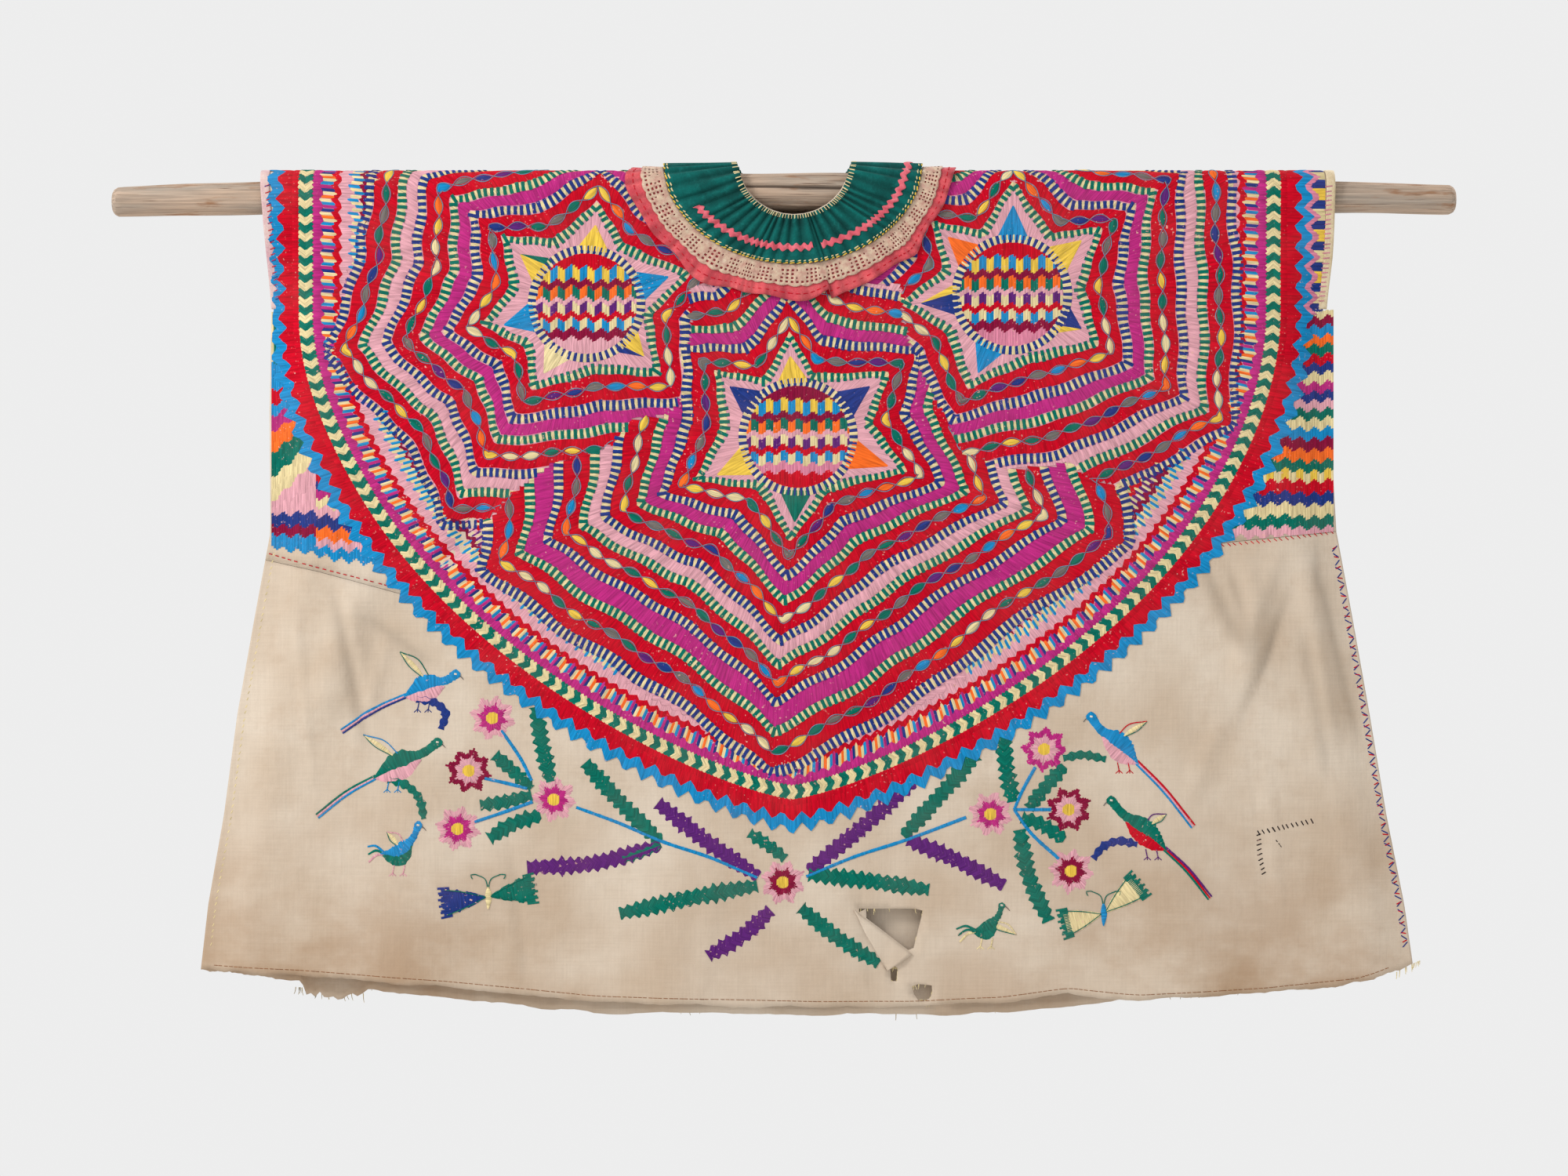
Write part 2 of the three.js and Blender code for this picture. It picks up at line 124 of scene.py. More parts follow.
@dataclass(frozen=True)
class SideEdge:
    """Where the two side edges stand at one height."""

    z: float
    left: float
    right: float


@dataclass(frozen=True)
class Level:
    """Height of a seam or hem at one place across, on the front and on the back."""

    x: float
    front: float
    back: float


@dataclass(frozen=True)
class Fold:
    """One soft fold: it starts at x and top, ends at bottom, and leans along x for each mm down."""

    x: float
    top: float
    bottom: float
    lean: float
    width: float
    height: float


SIDE_EDGES = table(
    SideEdge,
    (20, -469, 493), (-60, -463, 491), (-108, -460, 487), (-200, -462, 490), (-305, -461, 496),
    (-380, -475, 510), (-470, -491, 526), (-560, -503, 541), (-640, -517, 557), (-745, -529, 572),
)
SKIRT_SEAM = table(
    Level,
    (-480, -327, -328), (-413, -341, -334), (-318, -366, -342), (384, -316, -318), (510, -304, -305),
)
HEM = table(
    Level,
    (-535, -698, -697), (-432, -703, -710), (-309, -712, -725), (-168, -726, -738), (-52, -729, -739),
    (29, -731, -741), (118, -731, -740), (196, -727, -738), (253, -719, -733), (314, -725, -726),
    (429, -719, -716), (515, -710, -706), (575, -690, -688),
)
FRONT_FOLDS = table(
    Fold,
    (-371, -330, -500, -0.32, 20, 6), (-330, -215, -340, 0.55, 16, -3), (-266, -270, -350, -0.5, 12, -4),
    (-150, -60, -330, -0.1, 60, 4), (20, -130, -560, 0, 80, 5), (250, -80, -420, 0.12, 60, 4),
    (416, -312, -470, 0.02, 11, 6), (446, -310, -450, -0.34, 9, 4), (468, -308, -520, 0.12, 11, 6),
    (-300, -420, -900, -0.15, 46, 5), (-95, -560, -900, -0.05, 40, 5), (150, -600, -900, 0.1, 34, -3),
    (330, -480, -900, 0.12, 48, 5), (96, -540, -800, 0.0, 50, -3),
)
BACK_FOLDS = table(
    Fold,
    (-400, -325, -520, -0.1, 14, 6), (-360, -330, -470, 0.3, 12, 4), (-120, -70, -350, 0.1, 70, 4),
    (160, -90, -520, -0.06, 70, 5), (390, -315, -500, 0.25, 16, 6), (-230, -480, -900, -0.12, 44, 5),
    (60, -560, -900, 0.02, 46, 5), (290, -500, -900, 0.14, 46, 5), (96, -540, -800, 0.0, 50, -7),
)
CREASES = table(
    Fold,
    (-440, -350, -560, 0.1, 5, 1.6), (-406, -343, -520, 0.21, 6, -3.0), (-394, -345, -500, 0.21, 8, 2.2),
    (-379, -376, -432, 1.3, 9, -2.2), (-345, -372, -500, -0.3, 6, 1.8), (-250, -560, -740, 0.12, 5, -1.4),
    (-60, -590, -760, -0.1, 6, 1.4), (60, -600, -740, 0.15, 5, -1.2), (372, -326, -430, 0.48, 7, -2.8),
    (398, -330, -420, 0.25, 5, -2.2), (388, -330, -440, 0.4, 8, 2.0), (458, -345, -490, -0.38, 5.5, -2.8),
    (470, -306, -520, 0.235, 5, -2.8), (478, -306, -365, 0.0, 4, -2.0), (462, -375, -540, 0.18, 6, -2.6),
    (398, -462, -560, -0.43, 8, 2.4), (430, -500, -660, 0.1, 6, 1.4), (505, -440, -700, 0.12, 7, 1.8),
)


def column(rows: tuple, name: str) -> Array:
    """One named column of a table."""
    return np.array([getattr(row, name) for row in rows], float)


class Side(Enum):
    """Front or back of the blouse, with the sign of v there."""

    FRONT = 1
    BACK = -1

    @property
    def title(self) -> str:
        """Lower-case name, as the tables and pieces use it."""
        return self.name.lower()


@dataclass(frozen=True)
class Drape:
    """How the flat cloth hangs over the pole, the same as in the solids."""

    fold_radius: float = 17.5
    hem_depth: float = 9.0
    depth_fade: float = 220.0
    side_round: float = 46.0
    armhole_top: float = -30.0
    armhole_bottom: float = -107.0
    closed_depth: float = 0.15
    crease_depth: float = 3.0
    step: float = 0.5

    @property
    def fold_arc(self) -> float:
        """Length of cloth from the top of the fold to where it hangs straight."""
        return self.fold_radius * math.pi / 2

    def down_to(self, z: Array) -> Array:
        """How far down the cloth a height lies."""
        return self.fold_arc - z

    def height_of(self, v: Array) -> Array:
        """Height of a flat cloth coordinate v.

        Args:
            v: Places down the cloth.

        Returns:
            Heights of the places.
        """
        v = np.asarray(v, float)
        on_arc = self.fold_radius * np.cos(v / self.fold_radius)
        return np.where(np.abs(v) < self.fold_arc, on_arc, self.fold_arc - np.abs(v))

    def edge(self, name: str, z: Array) -> Array:
        """x of the left or right side edge at a height."""
        return np.interp(-np.asarray(z, float), -column(SIDE_EDGES, "z"), column(SIDE_EDGES, name))

    def level(self, rows: tuple[Level, ...], side: Side, x: Array) -> Array:
        """Height of a seam or hem at a place across."""
        return np.interp(x, column(rows, "x"), column(rows, side.title))

    def fold_height(self, rows: tuple[Fold, ...], x: Array, z: Array) -> Array:
        """How far the folds push the cloth outward.

        Args:
            rows: The folds.
            x: Places across.
            z: Heights.

        Returns:
            Heights of all folds together at each place.
        """
        height = np.zeros(np.broadcast(x, z).shape)
        for row in rows:
            ramp = 0.3 * (row.top - row.bottom)
            along = smoothstep(row.top - z, 0, ramp) * smoothstep(z - row.bottom, 0, ramp)
            off = (x - row.x - row.lean * (row.top - z)) / row.width
            height += row.height * along * np.exp(-off * off)
        return height

    def crest(self, x: Array, z: Array) -> Array:
        """Share from 0 in a narrow crease to 1 on smooth cloth, for the painted shade that darkens the
        crease.
        """
        deep = self.fold_height(tuple(row for row in CREASES if row.height < 0), x, z)
        return 1 + np.clip(deep / self.crease_depth, -1, 0)

    def depth(self, x: Array, z: Array, rows: tuple[Fold, ...]) -> Array:
        """Distance of the inside of the cloth from the middle plane, below the shoulder.

        Args:
            x: Places across.
            z: Heights.
            rows: The folds of that side.

        Returns:
            Distances from the middle plane.
        """
        fading = np.exp(np.minimum(z, 0) / self.depth_fade)
        hang = self.hem_depth + (self.fold_radius - self.hem_depth) * fading
        nearest = np.minimum(x - self.edge("left", z), self.edge("right", z) - x)
        from_side = smoothstep(nearest, 0, self.side_round)
        closed = smoothstep(-z, -self.armhole_top, -self.armhole_bottom)
        open_share = 1 - closed * (1 - from_side)
        folds = self.fold_height(rows, x, z) * from_side
        return mix(self.closed_depth, hang + folds, open_share)

    def point(self, x: Array, v: Array) -> Array:
        """Inside surface of the draped cloth, in millimetres.

        Args:
            x: Places across.
            v: Places down the cloth, of the same shape.

        Returns:
            Points, with one axis more than x.
        """
        z = self.height_of(v)
        on_arc = -self.fold_radius * np.sin(v / self.fold_radius)
        front = -self.depth(x, z, FRONT_FOLDS + CREASES)
        back = self.depth(x, z, BACK_FOLDS + CREASES)
        hanging = np.where(v > 0, front, back)
        y = np.where(np.abs(v) < self.fold_arc, on_arc, hanging)
        return np.stack([np.broadcast_to(x, z.shape), y, z], axis=-1)

    def place(self, x: Array, v: Array, height: Array) -> Array:
        """Points at a height off the cloth along its outward normal.

        Args:
            x: Places across.
            v: Places down the cloth.
            height: Heights off the cloth's inside.

        Returns:
            Points, with one axis more than x.
        """
        x, v, height = np.broadcast_arrays(np.asarray(x, float), np.asarray(v, float), height)
        across = self.point(x + self.step, v) - self.point(x - self.step, v)
        down = self.point(x, v + self.step) - self.point(x, v - self.step)
        outward = np.cross(down, across)
        outward /= np.linalg.norm(outward, axis=-1, keepdims=True)
        return self.point(x, v) + outward * height[..., None]


DRAPE = Drape()


def grid_quads(rows: int, columns: int, closed: bool = False) -> Array:
    """Quads of a grid of points, row by row, the last row joined to the first if closed.

    Args:
        rows: Number of rows.
        columns: Number of points in a row.
        closed: Whether the last row joins the first.

    Returns:
        Four point numbers for each face.
    """
    i = np.arange(rows if closed else rows - 1)[:, None]
    j = np.arange(columns - 1)[None, :]
    a = i * columns + j
    b = ((i + 1) % rows) * columns + j
    return np.stack([a, a + 1, b + 1, b], axis=-1).reshape(-1, 4)


def rim_quads(quads: Array, count: int) -> Array:
    """Quads that join the open rims of a skin to its copy that starts at point number count.

    Args:
        quads: Four point numbers for each face.
        count: Number of points in one skin.

    Returns:
        Four point numbers for each face of the rims.
    """
    start = quads.ravel()
    end = np.roll(quads, -1, axis=1).ravel()
    codes = start.astype(np.int64) * count + end
    rim = ~np.isin(codes, end.astype(np.int64) * count + start)
    a, b = start[rim], end[rim]
    return np.stack([b, a, a + count, b + count], axis=1)


def rim_points(kept: Array) -> Array:
    """Which points of a grid lie on the rim of a hole in it.

    Args:
        kept: Which cells of the grid are left.

    Returns:
        True for each point with cells of both kinds round it.
    """
    padded = np.pad(kept, 1, constant_values=True).astype(int)
    round_each = padded[:-1, :-1] + padded[1:, :-1] + padded[:-1, 1:] + padded[1:, 1:]
    return (round_each > 0) & (round_each < 4)


def mesh_piece(name: str, points: Array, quads: Array, finish: Material) -> Piece:
    """Makes a smooth mesh that rides on the part.

    Args:
        name: Name of the piece.
        points: Points in millimetres.
        quads: Four point numbers for each face.
        finish: Its material.

    Returns:
        The new object.
    """
    mesh = bpy.data.meshes.new(name)
    mesh.vertices.add(len(points))
    mesh.vertices.foreach_set("co", (points * MM).ravel())
    mesh.loops.add(quads.size)
    mesh.loops.foreach_set("vertex_index", quads.ravel().astype(np.int32))
    mesh.polygons.add(len(quads))
    mesh.polygons.foreach_set("loop_start", np.arange(0, quads.size, 4, dtype=np.int32))
    mesh.polygons.foreach_set("use_smooth", np.ones(len(quads), bool))
    mesh.update(calc_edges=True)
    mesh.materials.append(finish)
    piece = bpy.data.objects.new(name, mesh)
    bpy.context.scene.collection.objects.link(piece)
    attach(piece, "root")
    return piece


def give_place(piece: Piece, along: Array, across: Array, extra: Array) -> None:
    """Stores each point's place in millimetres on its own piece, for weaves and stitches.

    Args:
        piece: The piece.
        along: Places along the piece.
        across: Places across it.
        extra: A third value, such as the share of a crest.
    """
    place = piece.data.attributes.new("thread_place", "FLOAT_VECTOR", "POINT")
    values = np.stack([np.ravel(along), np.ravel(across), np.ravel(extra)], axis=1)
    place.data.foreach_set("vector", values.astype(np.float32).ravel())


def cloth_wall(
    name: str,
    x: Array,
    v: Array,
    inner: Array,
    outer: Array,
    finish: Material,
    closed: bool = False,
    kept: Array | None = None,
    crest: Array | None = None,
) -> Piece:
    """Makes a closed thin wall of cloth over a grid of flat places.

    Args:
        name: Name of the piece.
        x: Places across, as a grid.
        v: Places down the cloth.
        inner: Height of the inside.
        outer: Height of the outside.
        finish: Its material.
        closed: Whether the last row of the grid joins the first.
        kept: Which cells of the grid are cloth, if not all of them.
        crest: Share from 0 in the valley of a gather to 1 on its crest, for the painted shade in the valley.

    Returns:
        The new object.
    """
    quads = grid_quads(*x.shape, closed)
    if kept is not None:
        quads = quads[kept.ravel()]
    heights = [np.broadcast_to(h, x.shape) for h in (outer, inner)]
    skins = [DRAPE.place(x, v, height).reshape(-1, 3) for height in heights]
    used, quads = np.unique(quads, return_inverse=True)
    quads = quads.reshape(-1, 4)
    points = np.concatenate([skin[used] for skin in skins])
    count = len(used)
    faces = np.concatenate([quads, quads[:, ::-1] + count, rim_quads(quads, count)])
    piece = mesh_piece(name, points, faces, finish)
    crest = v * 0 + (1 if crest is None else crest)
    values = [np.tile(np.ravel(a)[used], 2) for a in (x, v, crest)]
    give_place(piece, *values)
    return piece


# Finishes


def add_node(tree: Tree, kind: str, settings: dict[str | int, object], output: str | int = 0) -> Socket:
    """Adds a node with its settings and links.

    Args:
        tree: Node tree of the material.
        kind: Blender's name for the kind of node.
        settings: Properties by name, and inputs by name or number, each a value or a socket to link.
        output: Name or number of the output that is wanted.

    Returns:
        That output.
    """
    node = tree.nodes.new(kind)
    for key, value in settings.items():
        if isinstance(value, Socket):
            tree.links.new(value, node.inputs[key])
        elif isinstance(key, str) and hasattr(node, key):
            setattr(node, key, value)
        else:
            node.inputs[key].default_value = value
    return node.outputs[output]


@dataclass(frozen=True)
class Spread:
    """Spreads a value's low to high over least to most, and holds it at these beyond."""

    low: float
    high: float
    least: float = 0.0
    most: float = 1.0


@dataclass(frozen=True)
class Grain:
    """Random pattern with grains of a size in millimetres along each axis, and how it is spread."""

    size: Point
    detail: float = 3.0
    roughness: float = 0.55
    spread: Spread | None = None


@dataclass(frozen=True)
class Relief:
    """Height in millimetres and strength of the small bumps of a surface."""

    height: float
    strength: float


MIX_FACTOR, MIX_A, MIX_B, MIX_RESULT = 0, 6, 7, 2


class Canvas:
    """A material under way: its node tree and shader, and the steps that finishes share."""

    def __init__(self, name: str, constants: dict[str, float]) -> None:
        """Makes the material with its shader's constants set on their own sockets.

        Args:
            name: Name of the material.
            constants: Values of the shader's sockets by name.
        """
        self.material = bpy.data.materials.new(name)
        self.material.use_nodes = True
        self.tree = self.material.node_tree
        self.shader = self.tree.nodes["Principled BSDF"]
        for socket, value in constants.items():
            self.shader.inputs[socket].default_value = value

    @cached_property
    def piece_place(self) -> Socket:
        """Place in millimetres on the piece itself."""
        return add_node(self.tree, "ShaderNodeAttribute", {"attribute_name": "thread_place"}, "Vector")

    @cached_property
    def body_place(self) -> Socket:
        """Place in millimetres in the part's own frame.

        Returns:
            The socket that gives it.
        """
        metres = add_node(self.tree, "ShaderNodeTexCoord", {}, "Object")
        return add_node(self.tree, "ShaderNodeVectorMath",
                        {"operation": "SCALE", "Scale": 1 / MM, 0: metres})

    def spread(self, value: Socket, spread: Spread | None) -> Socket:
        """The value spread over a range of shares, or the value itself if there is none.

        Args:
            value: Value to spread.
            spread: Range of the shares, if any.

        Returns:
            The share.
        """
        if spread is None:
            return value
        settings = {0: value, 1: spread.low, 2: spread.high, 3: spread.least, 4: spread.most, "clamp": True}
        return add_node(self.tree, "ShaderNodeMapRange", settings)

    def pattern(self, place: Socket, grain: Grain) -> Socket:
        """Lays a random pattern over places in millimetres, spread as the grain says.

        Args:
            place: Places in millimetres.
            grain: The pattern.

        Returns:
            The pattern's value.
        """
        scale = tuple(1 / size for size in grain.size)
        moved = add_node(self.tree, "ShaderNodeMapping", {"Scale": scale, "Vector": place})
        settings = {"Scale": 1.0, "Detail": grain.detail, "Roughness": grain.roughness, "Vector": moved}
        return self.spread(add_node(self.tree, "ShaderNodeTexNoise", settings), grain.spread)

    def along(self, place: Socket, axis: str, spread: Spread) -> Socket:
        """Share by the place along an axis, the same on both sides of x = 0.

        Args:
            place: Places in millimetres.
            axis: X, Y or Z.
            spread: Range of the shares.

        Returns:
            The share.
        """
        distance = add_node(self.tree, "ShaderNodeSeparateXYZ", {0: place}, axis)
        if axis == "X":
            distance = self.combine("ABSOLUTE", distance)
        return self.spread(distance, spread)

    def combine(self, operation: str, *values: Socket | float) -> Socket:
        """Sum, product or the like of sockets and numbers."""
        return add_node(self.tree, "ShaderNodeMath", {"operation": operation, **dict(enumerate(values))})

    def coat(self, under: Socket | str, over: Socket | str, share: Socket | float = 1.0,
             how: str = "MIX") -> Socket:
        """Lays one colour over another.

        Args:
            under: Colour below, a socket or an sRGB hex colour.
            over: Colour above, the same.
            share: How much of it shows.
            how: Whether it covers the colour below or multiplies it.

        Returns:
            The colour seen.
        """
        under, over = (linear(c) if isinstance(c, str) else c for c in (under, over))
        settings = {"data_type": "RGBA", "blend_type": how, MIX_FACTOR: share, MIX_A: under, MIX_B: over}
        return add_node(self.tree, "ShaderNodeMix", settings, MIX_RESULT)

    def finish(self, colour: Socket, height: Socket, relief: Relief) -> None:
        """Gives the shader its colour and its small bumps.

        Args:
            colour: Colour of the material.
            height: Height of the bumps.
            relief: How high and strong they are.
        """
        settings = {"Strength": relief.strength, "Distance": relief.height * MM, "Height": height}
        self.tree.links.new(colour, self.shader.inputs["Base Color"])
        self.tree.links.new(add_node(self.tree, "ShaderNodeBump", settings), self.shader.inputs["Normal"])


@dataclass(frozen=True)
class Finish:
    """A finish with a plain shader. Subclasses add what the real material shows."""

    name: str
    roughness: float = 0.85
    sheen: float = 0.2
    specular: float = 0.3
    sheen_roughness: float = 0.5

    def material(self) -> Material:
        """Makes the material and dresses it.

        Returns:
            The material.
        """
        canvas = Canvas(self.name, {"Roughness": self.roughness, "Sheen Weight": self.sheen,
                                    "Sheen Roughness": self.sheen_roughness,
                                    "Specular IOR Level": self.specular})
        self.dress(canvas)
        return canvas.material

    def dress(self, canvas: Canvas) -> None:
        """Adds what the material shows to the canvas."""
        raise NotImplementedError


@dataclass(frozen=True)
class SatinStitch(Finish):
    """Dyed cotton and wool floss in dense satin stitch: soft parallel ridges, dull with a silky edge."""

    streaks: Grain = Grain((1.5, 22.0, 50), 2.0, 0.6)
    streak_shade: Spread = Spread(0.3, 0.7, 0.62, 1.18)
    fading: Grain = Grain((38, 38, 38), spread=Spread(0.4, 0.75, 0.0, 0.08))
    faded: str = "#A87068"
    flecks: Grain = Grain((2.4, 2.4, 2.4), 1.0, spread=Spread(0.68, 0.76))
    patches: Grain = Grain((60, 60, 60), 2.0, spread=Spread(0.4, 0.65))
    rubbed: str = "#D9A69A"
    relief: Relief = Relief(0.9, 0.7)

    def dress(self, canvas: Canvas) -> None:
        """Thread colour from the mesh, streaked along each thread, rubbed in places.

        Args:
            canvas: The material under way.
        """
        dyed = add_node(canvas.tree, "ShaderNodeAttribute", {"attribute_name": "thread_colour"}, "Color")
        streaks = canvas.pattern(canvas.piece_place, self.streaks)
        streaked = canvas.coat(dyed, canvas.spread(streaks, self.streak_shade), how="MULTIPLY")
        faded = canvas.coat(streaked, self.faded, canvas.pattern(canvas.body_place, self.fading))
        flecks, patches = (canvas.pattern(canvas.body_place, g) for g in (self.flecks, self.patches))
        worn = canvas.coat(faded, self.rubbed, canvas.combine("MULTIPLY", flecks, patches))
        canvas.finish(worn, streaks, self.relief)


@dataclass(frozen=True)
class WornCotton(Finish):
    """Unbleached plain-weave cotton, soft and uneven: slubs, creases with painted shade, brown stains by the
    hem.
    """

    cloth: str = "#BEAB96"
    pale: str = "#CDBEAC"
    stain: str = "#9A795A"
    weft: Grain = Grain((40.0, 1.6, 50), 2.0)
    warp: Grain = Grain((1.6, 40.0, 50), 2.0)
    weave_shade: Spread = Spread(0.7, 1.3, 0.95, 1.035)
    bleaching: Grain = Grain((90, 90, 90), spread=Spread(0.35, 0.65))
    # painted shade: how dark the cotton is drawn in a crease, by the mesh's crest share
    crease_shade: Spread = Spread(0.0, 1.0, 0.8)
    stained_down: Spread = Spread(-520.0, -735.0)
    stained_out: Spread = Spread(120.0, 330.0, 0.3)
    blots: Grain = Grain((120, 120, 80), 5.0, 0.6, Spread(0.38, 0.58, 0.15, 0.75))
    soiling: Grain = Grain((32, 32, 32), 5.0, 0.7, Spread(0.52, 0.8, 0.0, 0.24))
    creases: Grain = Grain((16, 16, 22), 3.0, 0.5)
    weave_height: float = 0.12
    relief: Relief = Relief(2.2, 0.6)

    def dress(self, canvas: Canvas) -> None:
        """Weave and slubs both ways, uneven bleaching, painted shade in the creases, stains that gather
        downward.

        Args:
            canvas: The material under way.
        """
        place, body = canvas.piece_place, canvas.body_place
        weave = canvas.combine("ADD", canvas.pattern(place, self.weft), canvas.pattern(place, self.warp))
        bleached = canvas.coat(self.cloth, self.pale, canvas.pattern(body, self.bleaching))
        # painted shade: darker where the mesh's crest share falls to 0 in a crease
        painted_crease_shade = canvas.along(place, "Z", self.crease_shade)
        shade = canvas.combine("MULTIPLY", canvas.spread(weave, self.weave_shade), painted_crease_shade)
        woven = canvas.coat(bleached, shade, how="MULTIPLY")
        down = canvas.along(body, "Z", self.stained_down)
        outward = canvas.along(body, "X", self.stained_out)
        here = canvas.combine("MULTIPLY", down, outward)
        stained = canvas.combine("MULTIPLY", here, canvas.pattern(body, self.blots))
        soil = canvas.combine("MAXIMUM", stained, canvas.pattern(body, self.soiling))
        soiled = canvas.coat(woven, self.stain, soil)
        height = canvas.combine("MULTIPLY_ADD", weave, self.weave_height, canvas.pattern(body, self.creases))
        canvas.finish(soiled, height, self.relief)


@dataclass(frozen=True)
class DyedCotton(Finish):
    """Thin plain-dyed cotton: even colour, lighter where the gathers rub, a fine dull weave, painted shade
    in the valleys.
    """

    dye: str = "#00605A"
    rubbed: str = "#1C7A74"
    shadow: str = "#004642"
    weave_size: float = 1.4
    cloud_size: float = 26.0
    cloud_share: Spread = Spread(0.35, 0.65)
    crease_size: float = 9.0
    crease_height: float = 1.0
    crease_strength: float = 0.5
    rubbing: Grain = Grain((7, 7, 7), 5.0, 0.7, Spread(0.5, 0.8, 0.0, 0.6))
    weave_depth: float = 9.0
    weave_height: float = 0.12
    weave_shade: Spread = Spread(0.3, 0.7, 0.9, 1.08)
    valley_shade: Spread = Spread(0.0, 0.8, 0.42)

    def dress(self, canvas: Canvas) -> None:
        """Cloudy dye, rubbed ridges and small creases, with painted shade in the valleys of the gathers.

        Args:
            canvas: The material under way.
        """
        place, body = canvas.piece_place, canvas.body_place
        clouds = canvas.pattern(body, Grain((self.cloud_size,) * 3, 4.0, spread=self.cloud_share))
        dyed = canvas.coat(self.shadow, self.dye, clouds)
        rubbed = canvas.coat(dyed, self.rubbed, canvas.pattern(body, self.rubbing))
        weave = canvas.pattern(place, Grain((self.weave_size, self.weave_size, self.weave_depth), 1.0))
        woven = canvas.coat(rubbed, canvas.spread(weave, self.weave_shade), how="MULTIPLY")
        # painted shade: darker in the valleys of the gathers, by the mesh's crest share
        valley_shaded = canvas.coat(woven, canvas.along(place, "Z", self.valley_shade), how="MULTIPLY")
        creases = canvas.pattern(body, Grain((self.crease_size,) * 3))
        height = canvas.combine("MULTIPLY_ADD", weave, self.weave_height, creases)
        canvas.finish(valley_shaded, height, Relief(self.crease_height, self.crease_strength))


@dataclass(frozen=True)
class WeatheredPole(Finish):
    """Old peeled softwood, greyed and dried: long grain, dark checks and brown bark stains."""

    wood: str = "#B89E88"
    grey: str = "#A09284"
    dark: str = "#5A4232"
    bark: str = "#8A5E3C"
    crack: str = "#2E2018"
    grain: Grain = Grain((90.0, 1.6, 1.6), 4.0, 0.6)
    grain_shade: Spread = Spread(0.3, 0.7, 0.6, 1.2)
    weather: Grain = Grain((120, 14, 14), 4.0, spread=Spread(0.35, 0.65))
    bark_left: Grain = Grain((46, 9, 9), 4.0, 0.6, Spread(0.55, 0.68, 0.0, 0.75))
    checks: Grain = Grain((60, 1.3, 1.3), 3.0, 0.5, Spread(0.62, 0.72))
    relief: Relief = Relief(0.8, 0.6)

    def dress(self, canvas: Canvas) -> None:
        """Streaks along the pole, grey weathering, dark checks and brown patches.

        Args:
            canvas: The material under way.
        """
        body = canvas.body_place
        grain = canvas.pattern(body, self.grain)
        base = canvas.coat(self.wood, self.grey, canvas.pattern(body, self.weather))
        streaked = canvas.coat(base, canvas.spread(grain, self.grain_shade), how="MULTIPLY")
        stained = canvas.coat(streaked, self.bark, canvas.pattern(body, self.bark_left))
        checked = canvas.coat(stained, self.dark, canvas.pattern(body, self.checks))
        groove = add_node(canvas.tree, "ShaderNodeAttribute", {"attribute_name": "groove"}, "Fac")
        canvas.finish(canvas.coat(checked, self.crack, groove), grain, self.relief)


@dataclass(frozen=True)
class PaintedFloor(Finish):
    """Matt pale studio floor, part of the stage."""

    paint: str = "#E8E8E6"

    def dress(self, canvas: Canvas) -> None:
        """Plain matt near-white paint."""
        canvas.shader.inputs["Base Color"].default_value = linear(self.paint)


class Finishes:
    """Every finish of the part, made once and shared."""

    def __init__(self) -> None:
        """Makes the materials."""
        self.floss = SatinStitch("satin_stitched_floss", roughness=0.75, sheen=0.0, specular=0.08).material()
        self.cotton = WornCotton("worn_unbleached_cotton", roughness=0.95, sheen=0.05,
                                 specular=0.1).material()
        self.green = DyedCotton("gathered_green_cotton", sheen=0.03, specular=0.15).material()
        self.coral = DyedCotton("coral_cotton_ruffle", dye="#D25258", rubbed="#DE7472", shadow="#BC3C48",
                                crease_size=7.0, crease_height=1.4).material()
        self.lace = DyedCotton("cream_cotton_lace", dye="#CDB69C", rubbed="#D8C6B2", shadow="#B88C7C",
                               weave_size=0.8, cloud_size=4.5).material()
        self.braid = DyedCotton("woven_rickrack_braid", dye="#DC6470", rubbed="#EE98A0", shadow="#C04858",
                                weave_size=0.9).material()
        self.pink_binding = DyedCotton("rose_binding_cloth", dye="#CCB2AC", rubbed="#D6CBC4",
                                       shadow="#BE949A").material()
        self.cream_binding = DyedCotton("cream_binding_cloth", dye="#D8C6A4", rubbed="#E6DAC0",
                                        shadow="#BFA984").material()
        self.wood = WeatheredPole("weathered_peeled_softwood", roughness=0.88, sheen=0.0).material()


# Threads on the cloth


